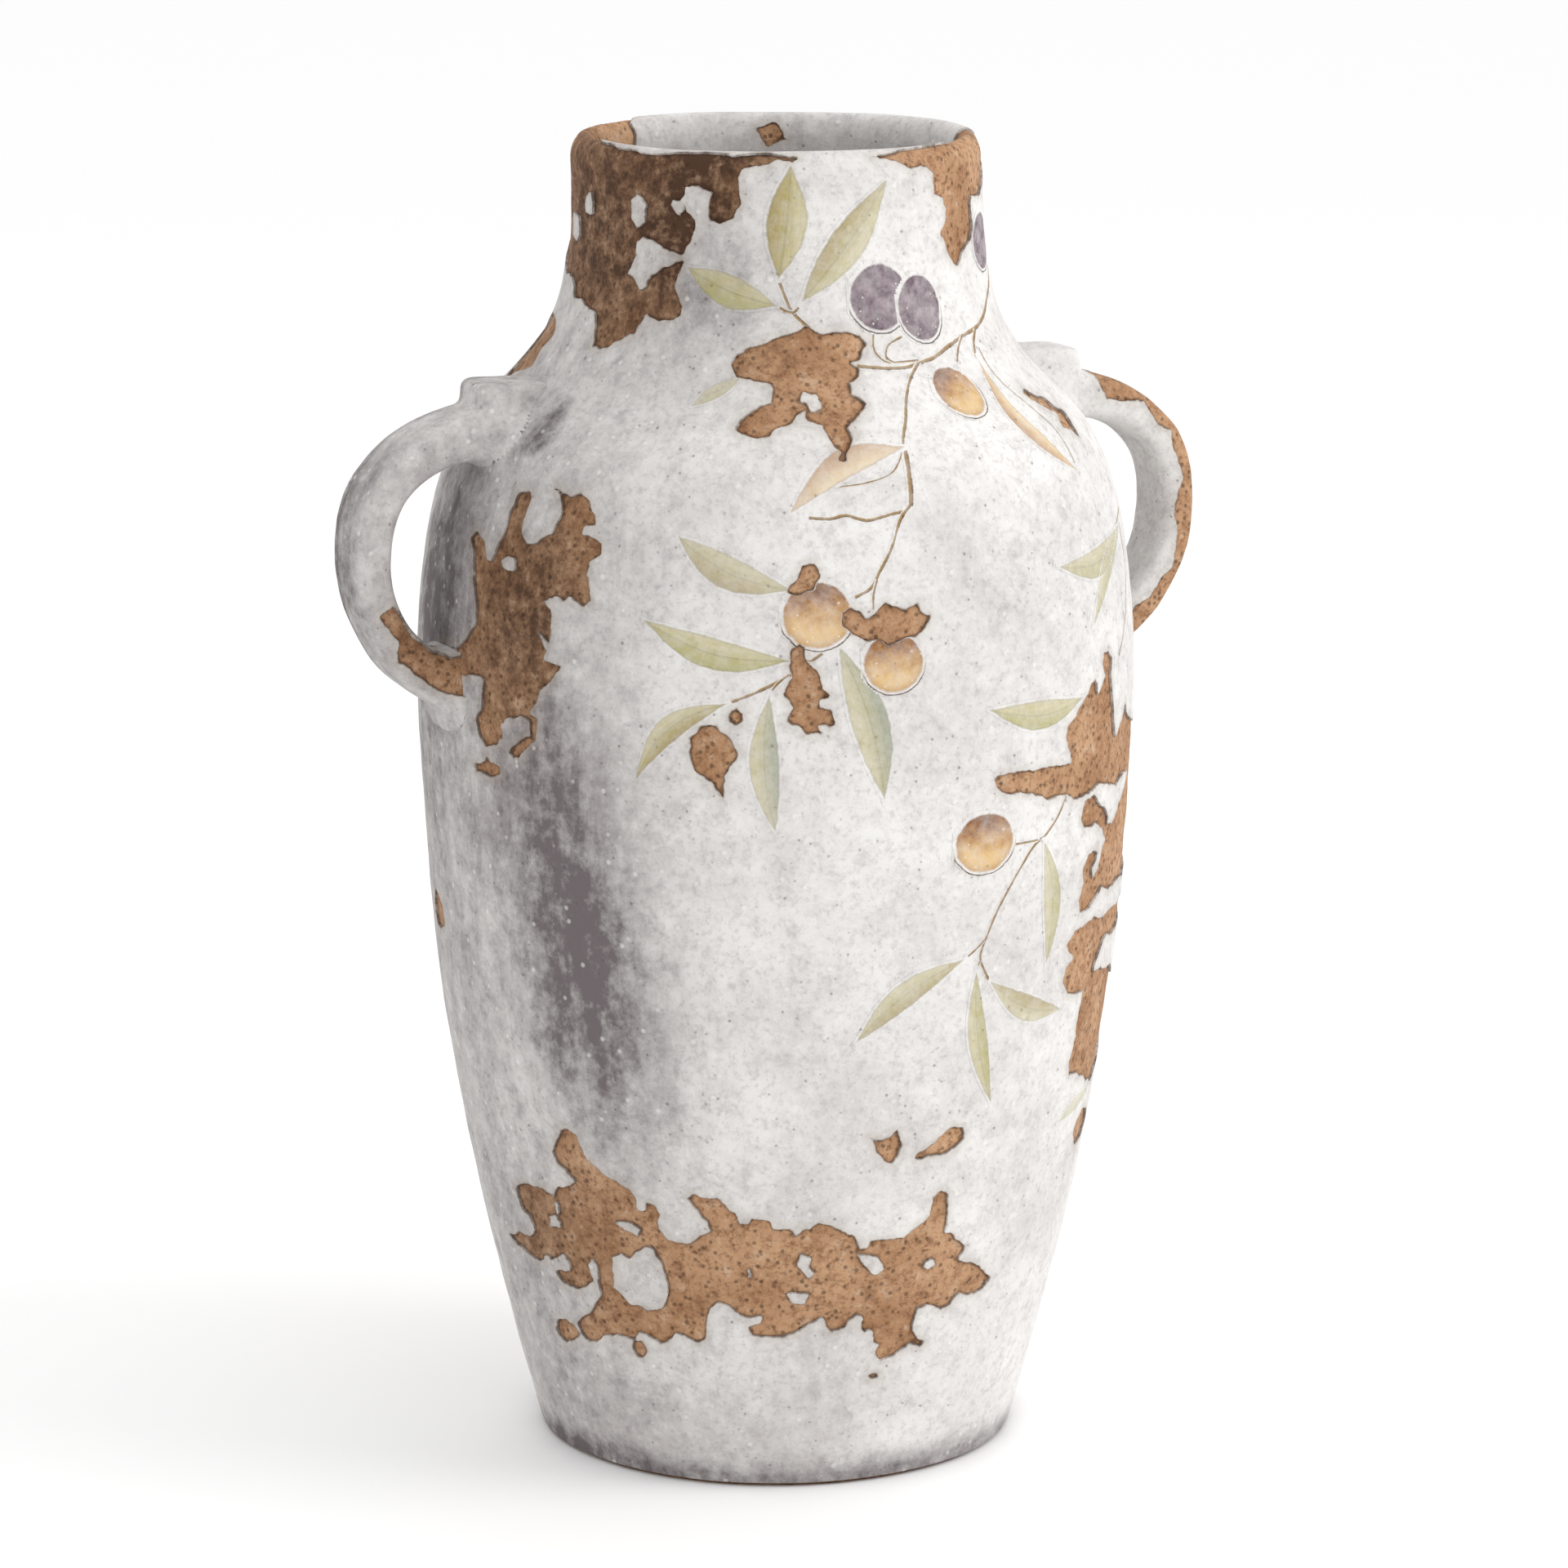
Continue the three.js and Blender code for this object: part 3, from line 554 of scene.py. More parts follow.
def all_patches():
    """Every bare patch as an outline with its islands, the back's ones included."""
    for name, outline in BARE.items():
        yield outline, KEPT.get(name, [])
    for name, turn, rise, mirrored in BACK:
        sign = -1 if mirrored else 1
        yield ([(sign * a + turn, v + rise) for a, v in BARE[name]],
               [[(sign * a + turn, v + rise) for a, v in island] for island in KEPT.get(name, [])])


PATCHES = list(all_patches())


def ragged(places):
    """The broken edge of a brittle coat: bites of 13 mm down to 1 mm across."""
    return np.array([noise.fractal(Vector(p) / BITE, BITE_ROUGHNESS, BITE_STEP, BITE_LAYERS) for p in places])


def settings():
    """The scene's settings for the pot."""
    return bpy.context.scene.amphora


def bare(angle, reach):
    """How far inside a bare patch each place is, in millimetres, and below zero where the coat is on."""
    angle = np.asarray(angle, float)
    reach = np.asarray(reach, float)
    field = np.full(angle.shape, -FAR)
    for outline, islands in PATCHES:
        field = np.maximum(field, patch_field(angle, reach, outline, islands))
    close = field > -NEAR_EDGE
    if close.any():
        bites = ragged(wall_places(angle[close], reach[close]))
        field[close] += bites * (settings().raggedness / MM)
    return field


def spots(angle, reach, rows):
    """Soft oval spots added up, for stains and soot, and for the shade painted with them."""
    total = np.zeros(np.shape(angle))
    for centre, height, half_angle, half_height, strength in rows:
        away = (turned(angle, centre) / half_angle) ** 2 + ((reach - height) / half_height) ** 2
        total += strength * np.exp(-away)
    return total


# ---- Mesh helpers ----

def vert_array(bm):
    """The mesh's places as an array, in the order of its vertices."""
    bm.verts.index_update()
    return np.array([v.co[:] for v in bm.verts])


def write_layer(bm, name, values):
    """Stores one number per vertex under a name that materials read."""
    layer = bm.verts.layers.float.get(name) or bm.verts.layers.float.new(name)
    for vert, value in zip(bm.verts, values):
        vert[layer] = float(value)


def refine(bm, field, bands):
    """Halves the faces that lie nearer to the edge of a bare patch than each band, in turn."""
    for band in bands:
        value = field(vert_array(bm))
        edges = [e for e in bm.edges if min(abs(value[v.index]) for v in e.verts) < band]
        bmesh.ops.subdivide_edges(bm, edges=edges, cuts=1, use_grid_fill=True)


def open_patches(bm, field):
    """Cuts the mesh along the edges of the bare patches and takes the bare faces off."""
    value = field(vert_array(bm))
    write_layer(bm, "bare", value)
    bm.edges.index_update()
    crossing = {}
    for edge in bm.edges:
        a, b = (value[v.index] for v in edge.verts)
        if (a > 0) != (b > 0):
            crossing[edge] = min(0.95, max(0.05, a / (a - b)))
    if crossing:
        cut = bmesh.ops.bisect_edges(bm, edges=list(crossing), cuts=1, edge_percents=crossing)
        fresh = [g for g in cut["geom_split"] if isinstance(g, bmesh.types.BMVert)]
        layer = bm.verts.layers.float["bare"]
        for vert in fresh:
            vert[layer] = 0
        bmesh.ops.connect_verts(bm, verts=fresh)
    layer = bm.verts.layers.float["bare"]
    gone = [f for f in bm.faces if sum(v[layer] for v in f.verts) > 0]
    bmesh.ops.delete(bm, geom=gone, context="FACES")
    tangled = [f for f in bm.faces if len(f.verts) > 4]
    bmesh.ops.triangulate(bm, faces=tangled)


def lay_on_wall(bm, depth):
    """Bends a flat mesh of angle and reach round the wall, at a depth under the finished face."""
    flat = vert_array(bm)
    angle, reach = flat[:, 0], flat[:, 1]
    places = wall_places(angle, reach, depth)
    places += wall_outward(angle, reach) * hand_thrown(wall_places(angle, reach))[:, None]
    for vert, place in zip(bm.verts, places * MM):
        vert.co = place


def thicken(bm, thickness):
    """Gives a sheet its thickness, inwards, and keeps its broken edge crisp."""
    bm.normal_update()
    bmesh.ops.solidify(bm, geom=bm.faces[:], thickness=thickness * MM)
    crisp_edges(bm)


def crisp_edges(bm, angle=math.radians(48)):
    """Smooth faces, with every corner sharper than the angle kept as an edge."""
    bm.normal_update()
    for face in bm.faces:
        face.smooth = True
    for edge in bm.edges:
        edge.smooth = not (len(edge.link_faces) == 2 and edge.calc_face_angle(0) > angle)


def make_piece(name, bm, material, nodes=()):
    """Turns a bmesh into a piece that rides on the pot and stands for its CAD nodes."""
    mesh = bpy.data.meshes.new(name)
    bm.to_mesh(mesh)
    bm.free()
    mesh.materials.append(material)
    piece = bpy.data.objects.new(name, mesh)
    bpy.context.scene.collection.objects.link(piece)
    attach(piece, "root")
    if nodes:
        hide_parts(*nodes)
    return piece


# ---- Node helper and colours ----

def colour(code):
    """An sRGB hex colour as the linear colour that a shader takes."""
    parts = [int(code[i:i + 2], 16) / 255 for i in (1, 3, 5)]
    linear = [p / 12.92 if p <= 0.04045 else ((p + 0.055) / 1.055) ** 2.4 for p in parts]
    return (*linear, 1.0)


def node(tree, kind, links=None, **settings):
    """Adds a node. A link's value is a plain value, a socket, or a node whose first output is meant."""
    made = tree.nodes.new(kind)
    for name, value in settings.items():
        setattr(made, name, value)
    for name, value in (links or {}).items():
        named = (s for s in made.inputs if s.enabled and s.name == name)
        socket = made.inputs[name] if isinstance(name, int) else next(named)
        if isinstance(value, bpy.types.Node):
            value = next(s for s in value.outputs if s.enabled)
        if isinstance(value, bpy.types.NodeSocket):
            tree.links.new(value, socket)
        else:
            socket.default_value = value
    return made


def scale_of(size):
    """A texture's scale for features of a size in millimetres."""
    return 1 / (size * MM)


def new_material(name):
    """An empty node material and its tree."""
    material = bpy.data.materials.new(name)
    material.use_nodes = True
    material.node_tree.nodes.clear()
    return material, material.node_tree


def close_material(tree, base, roughness, height, relief):
    """Ends a material in a plain dull surface with relief in millimetres."""
    bump = node(tree, "ShaderNodeBump", {"Strength": 1.0, "Distance": relief * MM, "Height": height})
    shader = node(tree, "ShaderNodeBsdfPrincipled",
                  {"Base Color": base, "Roughness": roughness, "Normal": bump, "Specular IOR Level": 0.28})
    node(tree, "ShaderNodeOutputMaterial", {"Surface": shader})


def coat_look(tree):
    """Lime wash over plaster: chalky white, greyed by stains and by painted shade, pitted, with painted shade
    in its pits and a dark line at its broken edge that is dirt and painted shade.

    Gives the colour and the height, so that paint can lie on top of the same coat.
    """
    place = node(tree, "ShaderNodeTexCoord").outputs["Object"]
    drawn = node(tree, "ShaderNodeMapping", {"Vector": place, "Scale": (1, 1, 0.2)})
    stain_and_shade = node(tree, "ShaderNodeAttribute", attribute_name="stain_and_shade").outputs["Fac"]
    edge = node(tree, "ShaderNodeAttribute", attribute_name="edge").outputs["Fac"]
    cloud = node(tree, "ShaderNodeTexNoise", {"Vector": place, "Scale": scale_of(60), "Detail": 5.0,
                                              "Roughness": 0.6})
    mottle = node(tree, "ShaderNodeTexNoise", {"Vector": place, "Scale": scale_of(9), "Detail": 8.0,
                                               "Roughness": 0.76})
    grain = node(tree, "ShaderNodeTexNoise", {"Vector": place, "Scale": scale_of(2.6), "Detail": 3.0,
                                              "Roughness": 0.7})
    streak = node(tree, "ShaderNodeTexNoise", {"Vector": drawn, "Scale": scale_of(8), "Detail": 4.0,
                                               "Roughness": 0.6})
    cell = node(tree, "ShaderNodeTexVoronoi", {"Vector": place, "Scale": scale_of(8)})
    pimple = node(tree, "ShaderNodeMapRange", {"Value": cell.outputs["Distance"], "From Min": 0.05,
                                               "From Max": 0.2, "To Min": 1.0, "To Max": 0.0})
    hole = node(tree, "ShaderNodeTexVoronoi", {"Vector": place, "Scale": scale_of(4.6)})
    pit = node(tree, "ShaderNodeMapRange", {"Value": hole.outputs["Distance"], "From Min": 0.06,
                                            "From Max": 0.15, "To Min": 1.0, "To Max": 0.0})
    pit_there = node(tree, "ShaderNodeMapRange", {"Value": mottle, "From Min": 0.46, "From Max": 0.58})
    pit = node(tree, "ShaderNodeMath", {0: pit, 1: pit_there}, operation="MULTIPLY")

    wash = node(tree, "ShaderNodeMapRange", {"Value": cloud, "From Min": 0.36, "From Max": 0.66})
    look = settings()
    base = node(tree, "ShaderNodeMix",
                {"Factor": wash, "A": tuple(look.coat_shade), "B": tuple(look.coat_colour)}, data_type="RGBA")
    soft = node(tree, "ShaderNodeMapRange", {"Value": mottle, "From Min": 0.5, "From Max": 0.74,
                                             "To Max": 0.6})
    light = node(tree, "ShaderNodeMapRange", {"Value": mottle, "From Min": 0.47, "From Max": 0.28,
                                              "To Max": 0.75})

    sand = node(tree, "ShaderNodeMapRange", {"Value": grain, "From Min": 0.5, "From Max": 0.72,
                                             "To Max": 0.45})

    # Stains lie in the hollows and run down in faint streaks, and so does the shade painted with them.
    running = node(tree, "ShaderNodeMapRange", {"Value": streak, "From Min": 0.32, "From Max": 0.68,
                                                "To Min": 0.75, "To Max": 1.15})
    patchy = node(tree, "ShaderNodeMapRange", {"Value": mottle, "From Min": 0.3, "From Max": 0.68,
                                               "To Min": 0.55, "To Max": 1.2})
    stain_and_shade = node(tree, "ShaderNodeMath", {0: stain_and_shade, 1: running}, operation="MULTIPLY")
    stain_and_shade = node(tree, "ShaderNodeMath", {0: stain_and_shade, 1: patchy}, operation="MULTIPLY", use_clamp=True)

    dots = node(tree, "ShaderNodeMapRange", {"Value": cell.outputs["Distance"], "From Min": 0.07,
                                             "From Max": 0.15, "To Min": 0.4, "To Max": 0.0})
    # The pits are painted darker: painted shade in the hollows.
    holes = node(tree, "ShaderNodeMath", {0: pit, 1: 0.55}, operation="MULTIPLY")

    # Dirt gathers along the broken edge, and the plaster there has browned. The dark line right at the edge
    # is dirt and painted shade, the shadow of the coat's broken step.
    fringe = node(tree, "ShaderNodeMapRange", {"Value": edge, "From Min": 0.0, "From Max": 4.0, "To Min": 0.4,
                                               "To Max": 0.0})
    fringe = node(tree, "ShaderNodeMath", {0: fringe, 1: patchy}, operation="MULTIPLY")
    line = node(tree, "ShaderNodeMapRange", {"Value": edge, "From Min": 0.1, "From Max": 0.5, "To Min": 0.7,
                                             "To Max": 0.0})
    broken = node(tree, "ShaderNodeMapRange", {"Value": mottle, "From Min": 0.38, "From Max": 0.56})
    line = node(tree, "ShaderNodeMath", {0: line, 1: broken}, operation="MULTIPLY")

    for cover, shade in (
        (soft, colour("#A9A3A4")),
        (light, colour("#ECEAE8")),
        (sand, colour("#A5A0A1")),
        # Stains and painted shade, in one grey.
        (stain_and_shade, tuple(look.stain_and_shade_colour)),
        (dots, colour("#F0EEEC")),
        (holes, colour("#6E655E")),
        (fringe, colour("#A79A8B")),
        (line, colour("#4C3B2E")),
    ):
        base = node(tree, "ShaderNodeMix", {"Factor": cover, "A": base, "B": shade}, data_type="RGBA")
    height = node(tree, "ShaderNodeMath", {0: pimple, 1: 0.55, 2: mottle}, operation="MULTIPLY_ADD")
    height = node(tree, "ShaderNodeMath", {0: grain, 1: 0.55, 2: height}, operation="MULTIPLY_ADD")
    height = node(tree, "ShaderNodeMath", {0: pit, 1: -0.8, 2: height}, operation="MULTIPLY_ADD")
    return base.outputs[2], height.outputs[0]


def lime_coat_material():
    """Brushed lime plaster, dry and chalky, so it has no sheen."""
    material, tree = new_material("brushed_lime_coat")
    base, height = coat_look(tree)
    close_material(tree, base, 0.82, height, 0.45)
    return material


def terracotta_material():
    """Unglazed terracotta, thrown and low fired: warm, mottled, gritty, with lime left in its pores, darkened
    by soot and painted shade, with painted shade in its pits and beside the coat's edge.
    """
    material, tree = new_material("unglazed_terracotta")
    place = node(tree, "ShaderNodeTexCoord").outputs["Object"]
    soot_and_shade = node(tree, "ShaderNodeAttribute", attribute_name="soot_and_shade").outputs["Fac"]
    edge = node(tree, "ShaderNodeAttribute", attribute_name="edge").outputs["Fac"]
    cloud = node(tree, "ShaderNodeTexNoise", {"Vector": place, "Scale": scale_of(24), "Detail": 5.0})
    mottle = node(tree, "ShaderNodeTexNoise", {"Vector": place, "Scale": scale_of(6), "Detail": 6.0,
                                               "Roughness": 0.72})
    grain = node(tree, "ShaderNodeTexNoise", {"Vector": place, "Scale": scale_of(2.4), "Detail": 4.0,
                                              "Roughness": 0.75})
    cell = node(tree, "ShaderNodeTexVoronoi", {"Vector": place, "Scale": scale_of(3.4)})
    pit = node(tree, "ShaderNodeMapRange", {"Value": cell.outputs["Distance"], "From Min": 0.14,
                                            "From Max": 0.3,
                                            "To Min": 1.0, "To Max": 0.0})
    tone = node(tree, "ShaderNodeMapRange", {"Value": cloud, "From Min": 0.34, "From Max": 0.66})
    look = settings()
    base = node(tree, "ShaderNodeMix",
                {"Factor": tone, "A": tuple(look.clay_shade), "B": tuple(look.clay_colour)}, data_type="RGBA")
    dark = node(tree, "ShaderNodeMapRange", {"Value": mottle, "From Min": 0.5, "From Max": 0.68,
                                             "To Max": 0.75})
    dust = node(tree, "ShaderNodeMapRange", {"Value": mottle, "From Min": 0.46, "From Max": 0.3,
                                             "To Max": 0.75})
    speck = node(tree, "ShaderNodeMapRange", {"Value": grain, "From Min": 0.5, "From Max": 0.68,
                                              "To Max": 0.75})
    patchy = node(tree, "ShaderNodeMapRange", {"Value": mottle, "From Min": 0.32, "From Max": 0.6,
                                               "To Min": 0.5, "To Max": 1.15})
    soot_and_shade = node(tree, "ShaderNodeMath", {0: soot_and_shade, 1: patchy}, operation="MULTIPLY", use_clamp=True)
    # The pits are painted near black: painted shade in the hollows.
    holes = node(tree, "ShaderNodeMath", {0: pit, 1: 0.6}, operation="MULTIPLY")
    # The clay just beside the coat's broken edge is painted dark: dirt, and painted shade under the coat's
    # step.
    coat_edge_dirt_and_shade = node(tree, "ShaderNodeMapRange", {"Value": edge, "From Min": 0.1, "From Max": 0.9, "To Min": 0.6,
                                            "To Max": 0.0})
    for cover, shade in (
        (dark, colour("#744A2E")),
        (dust, colour("#CDB196")),
        (speck, colour("#6B4326")),
        # Soot and painted shade, in one dark brown.
        (soot_and_shade, tuple(look.soot_and_shade_colour)),
        (holes, colour("#3E2919")),
        (coat_edge_dirt_and_shade, colour("#4B3020")),
    ):
        base = node(tree, "ShaderNodeMix", {"Factor": cover, "A": base, "B": shade}, data_type="RGBA")
    height = node(tree, "ShaderNodeMath", {0: grain, 1: 0.9, 2: mottle}, operation="MULTIPLY_ADD")
    height = node(tree, "ShaderNodeMath", {0: pit, 1: -0.7, 2: height}, operation="MULTIPLY_ADD")
    close_material(tree, base.outputs[2], 0.88, height, 0.5)
    return material


def paint_on_coat(name, mask_and_colour):
    """Thin tempera on the lime coat. The coat shows through where the paint has worn."""
    material, tree = new_material(name)
    base, height = coat_look(tree)
    sheet = node(tree, "ShaderNodeUVMap", uv_map="Paint")
    split = node(tree, "ShaderNodeSeparateXYZ", {"Vector": sheet.outputs["UV"]})
    place = node(tree, "ShaderNodeTexCoord").outputs["Object"]
    wear = node(tree, "ShaderNodeTexNoise", {"Vector": place, "Scale": scale_of(5), "Detail": 5.0,
                                             "Roughness": 0.7})
    strength = node(tree, "ShaderNodeAttribute", attribute_name="strength").outputs["Fac"]
    mask, tint = mask_and_colour(tree, split.outputs["X"], split.outputs["Y"], wear.outputs[0])
    worn = node(tree, "ShaderNodeMapRange", {"Value": wear, "From Min": 0.3, "From Max": 0.62, "To Min": 1.0,
                                             "To Max": 0.68})
    mask = node(tree, "ShaderNodeMath", {0: mask, 1: worn}, operation="MULTIPLY")
    mask = node(tree, "ShaderNodeMath", {0: mask, 1: strength}, operation="MULTIPLY", use_clamp=True)
    shown = node(tree, "ShaderNodeMix", {"Factor": mask, "A": base, "B": tint}, data_type="RGBA")
    close_material(tree, shown.outputs[2], 0.76, height, 0.45)
    return material


def leaf_outline(tree, along, across, wear, waver):
    """How far inside a leaf's wavering outline each place is, and how far off its midrib."""
    turn = node(tree, "ShaderNodeMath", {0: along, 1: math.pi}, operation="MULTIPLY")
    wide = node(tree, "ShaderNodeMath", {0: turn}, operation="SINE")
    off = node(tree, "ShaderNodeMath", {0: across}, operation="ABSOLUTE")
    room = node(tree, "ShaderNodeMath", {0: wide, 1: off}, operation="SUBTRACT")
    wobble = node(tree, "ShaderNodeMapRange", {"Value": wear, "From Min": 0.3, "From Max": 0.7,
                                               "To Min": -waver,
                                               "To Max": waver})
    room = node(tree, "ShaderNodeMath", {0: room, 1: wobble}, operation="ADD")
    return room, off


def leaf_paint(tree, along, across, wear):
    """A leaf in one stroke: green wash, darker on its lower side, with a midrib and a thin drawn edge."""
    tint = node(tree, "ShaderNodeAttribute", attribute_name="tint").outputs["Color"]
    room, off = leaf_outline(tree, along, across, wear, 0.07)
    mask = node(tree, "ShaderNodeMapRange", {"Value": room, "From Min": -0.02, "From Max": 0.08})
    side = node(tree, "ShaderNodeMapRange", {"Value": across, "From Min": -0.7, "From Max": 0.5})
    light = node(tree, "ShaderNodeMix", {"Factor": side, "A": tint, "B": colour("#BDB070")}, data_type="RGBA")
    stroke = node(tree, "ShaderNodeCombineXYZ", {"X": along, "Y": across})
    brushed = node(tree, "ShaderNodeMapping", {"Vector": stroke, "Scale": (3, 14, 1)})
    hairs = node(tree, "ShaderNodeTexNoise", {"Vector": brushed, "Scale": 1.0, "Detail": 3.0})
    depth = node(tree, "ShaderNodeMapRange", {"Value": hairs, "From Min": 0.42, "From Max": 0.68,
                                              "To Max": 0.5})
    dark = node(tree, "ShaderNodeMix", {"Factor": depth, "A": light, "B": colour("#8B8748")},
                data_type="RGBA")
    rib = node(tree, "ShaderNodeMapRange", {"Value": off, "From Min": 0.02, "From Max": 0.09, "To Min": 0.5,
                                            "To Max": 0.0})
    ribbed = node(tree, "ShaderNodeMix", {"Factor": rib, "A": dark, "B": colour("#7D7438")}, data_type="RGBA")
    outline = node(tree, "ShaderNodeMapRange", {"Value": room, "From Min": 0.05, "From Max": 0.16,
                                                "To Min": 0.55, "To Max": 0.0})
    edged = node(tree, "ShaderNodeMix", {"Factor": outline, "A": ribbed, "B": colour("#6F6A34")},
                 data_type="RGBA")
    thin = node(tree, "ShaderNodeMapRange", {"Value": side, "From Min": 0.2, "From Max": 1.0, "To Min": 1.0,
                                             "To Max": 0.8})
    mask = node(tree, "ShaderNodeMath", {0: mask, 1: thin}, operation="MULTIPLY")
    return mask, edged


def dry_leaf_paint(tree, along, across, wear):
    """A dry leaf: ochre wash with a brown edge."""
    tint = node(tree, "ShaderNodeAttribute", attribute_name="tint").outputs["Color"]
    room, _ = leaf_outline(tree, along, across, wear, 0.1)
    mask = node(tree, "ShaderNodeMapRange", {"Value": room, "From Min": 0.0, "From Max": 0.12})
    pale = node(tree, "ShaderNodeMapRange", {"Value": across, "From Min": -0.5, "From Max": 0.6})
    base = node(tree, "ShaderNodeMix", {"Factor": pale, "A": colour("#D9BE8C"), "B": tint}, data_type="RGBA")
    outline = node(tree, "ShaderNodeMapRange", {"Value": room, "From Min": 0.06, "From Max": 0.22,
                                                "To Min": 0.7, "To Max": 0.0})
    edged = node(tree, "ShaderNodeMix", {"Factor": outline, "A": base, "B": colour("#8A5A28")},
                 data_type="RGBA")
    return mask, edged


def olive_paint(tree, across, up, wear):
    """An olive: round, amber and darker above until it is ripe, then plum all over."""
    ripe = node(tree, "ShaderNodeAttribute", attribute_name="ripe").outputs["Fac"]
    flat = node(tree, "ShaderNodeCombineXYZ", {"X": across, "Y": up})
    away = node(tree, "ShaderNodeVectorMath", {0: flat}, operation="LENGTH").outputs["Value"]
    wobble = node(tree, "ShaderNodeMapRange", {"Value": wear, "From Min": 0.3, "From Max": 0.7,
                                               "To Min": -0.03,
                                               "To Max": 0.03})
    edge = node(tree, "ShaderNodeMath", {0: away, 1: wobble}, operation="ADD")
    disc = node(tree, "ShaderNodeMapRange", {"Value": edge, "From Min": 0.92, "From Max": 0.98, "To Min": 1.0,
                                             "To Max": 0.0})
    blotch = node(tree, "ShaderNodeMapping", {"Vector": flat, "Scale": (1.8, 1.8, 1)})
    cloud = node(tree, "ShaderNodeTexNoise", {"Vector": blotch, "Scale": 1.3, "Detail": 5.0,
                                              "Roughness": 0.62})
    shift = node(tree, "ShaderNodeMath", {0: cloud, 1: 1.6, 2: up}, operation="MULTIPLY_ADD")
    top = node(tree, "ShaderNodeMapRange", {"Value": shift, "From Min": 0.35, "From Max": 1.35})
    amber = node(tree, "ShaderNodeMix", {"Factor": top, "A": colour("#D9B479"), "B": colour("#9A6225")},
                 data_type="RGBA")
    deep = node(tree, "ShaderNodeMapRange", {"Value": shift, "From Min": 1.1, "From Max": 1.75})
    amber = node(tree, "ShaderNodeMix", {"Factor": deep, "A": amber, "B": colour("#5E3512")},
                 data_type="RGBA")
    round_off = node(tree, "ShaderNodeMapRange", {"Value": away, "From Min": 0.72, "From Max": 0.98,
                                                  "To Max": 0.55})
    amber = node(tree, "ShaderNodeMix", {"Factor": round_off, "A": amber, "B": colour("#8C5A22")},
                 data_type="RGBA")
    bloom = node(tree, "ShaderNodeMapRange", {"Value": cloud, "From Min": 0.38, "From Max": 0.66})
    plum = node(tree, "ShaderNodeMix", {"Factor": bloom, "A": colour("#55434F"), "B": colour("#94808A")},
                data_type="RGBA")
    plum = node(tree, "ShaderNodeMix", {"Factor": round_off, "A": plum, "B": colour("#5B4452")},
                data_type="RGBA")
    fruit = node(tree, "ShaderNodeMix", {"Factor": ripe, "A": amber, "B": plum}, data_type="RGBA")
    splash = node(tree, "ShaderNodeTexVoronoi", {"Vector": flat, "Scale": 3.2})
    drops = node(tree, "ShaderNodeMapRange", {"Value": splash.outputs["Distance"], "From Min": 0.07,
                                              "From Max": 0.13, "To Min": 0.7, "To Max": 0.0})
    fruit = node(tree, "ShaderNodeMix", {"Factor": drops, "A": fruit, "B": colour("#E8DDD0")},
                 data_type="RGBA")
    # A thin drawn line runs just outside the wash, and fades in places.
    ring = node(tree, "ShaderNodeMath", {0: edge, 1: 1.05}, operation="SUBTRACT")
    ring = node(tree, "ShaderNodeMath", {0: ring}, operation="ABSOLUTE")
    ring = node(tree, "ShaderNodeMapRange", {"Value": ring, "From Min": 0.012, "From Max": 0.034,
                                             "To Min": 1.0, "To Max": 0.0})
    drawn = node(tree, "ShaderNodeMapRange", {"Value": shift, "From Min": 0.9, "From Max": 0.2})
    ring = node(tree, "ShaderNodeMath", {0: ring, 1: drawn}, operation="MULTIPLY")
    both = node(tree, "ShaderNodeMath", {0: disc, 1: ring}, operation="MAXIMUM")
    shown = node(tree, "ShaderNodeMix", {"Factor": ring, "A": fruit, "B": colour("#3A2A20")},
                 data_type="RGBA")
    return both, shown


def stem_paint(tree, along, across, wear):
    """A stem: one thin brown stroke, thick and thin as the brush ran dry."""
    off = node(tree, "ShaderNodeMath", {0: across}, operation="ABSOLUTE")
    width = node(tree, "ShaderNodeMapRange", {"Value": wear, "From Min": 0.3, "From Max": 0.7, "To Min": 0.7,
                                              "To Max": 0.36})
    room = node(tree, "ShaderNodeMath", {0: width, 1: off}, operation="SUBTRACT")
    mask = node(tree, "ShaderNodeMapRange", {"Value": room, "From Min": -0.08, "From Max": 0.12})
    tone = node(tree, "ShaderNodeMapRange", {"Value": across, "From Min": -0.5, "From Max": 0.5})
    base = node(tree, "ShaderNodeMix", {"Factor": tone, "A": colour("#5C4022"), "B": colour("#A3813F")},
                data_type="RGBA")
    return mask, base


# ---- Clay sections ----

COAT = 1.0
LAP = 7.0
CLAY_FACE = COAT - 0.1
CLAY_BACK = COAT + CLAY_WALL
CLAY_STEPS = 384
CLAY_ROW = 2.3
JOINT_GAP = 0.04
INNER_ROW = 6
LIP_ROW = 1.6
LIP_ZONE = 14
FACE_DEPTH = 3
GRIT = 9
GRIT_DEPTH = 0.28
DISC_STEP = 8.0
DISC_GAP = 0.2
DISC_EDGE = 1.2
FOOT_HOLLOW = 1.6


def rows(low, high, spacing):
    """Evenly spaced reaches from low to high, both included."""
    return np.linspace(low, high, max(2, int(round(abs(high - low) / spacing)) + 1))


def ring_profile(low, high, lap_below, lap_above):
    """A thrown ring's section with half-lap joints, as reach and depth, going round once."""
    middle = (CLAY_FACE + CLAY_BACK) / 2
    gap = JOINT_GAP
    outer = [(v, CLAY_FACE) for v in rows(low + gap / 2, high - gap / 2, CLAY_ROW)]
    tongue = [(high - gap / 2, middle + gap / 2), (high + LAP, middle + gap / 2)] if lap_above else []
    start = high + LAP if lap_above else high - gap / 2
    end = low + LAP + gap if lap_below else low + gap / 2
    inner = [(v, CLAY_BACK) for v in rows(start, end, INNER_ROW)]
    root = [(end, middle - gap / 2), (low + gap / 2, middle - gap / 2)] if lap_below else []
    return outer + tongue + inner + root


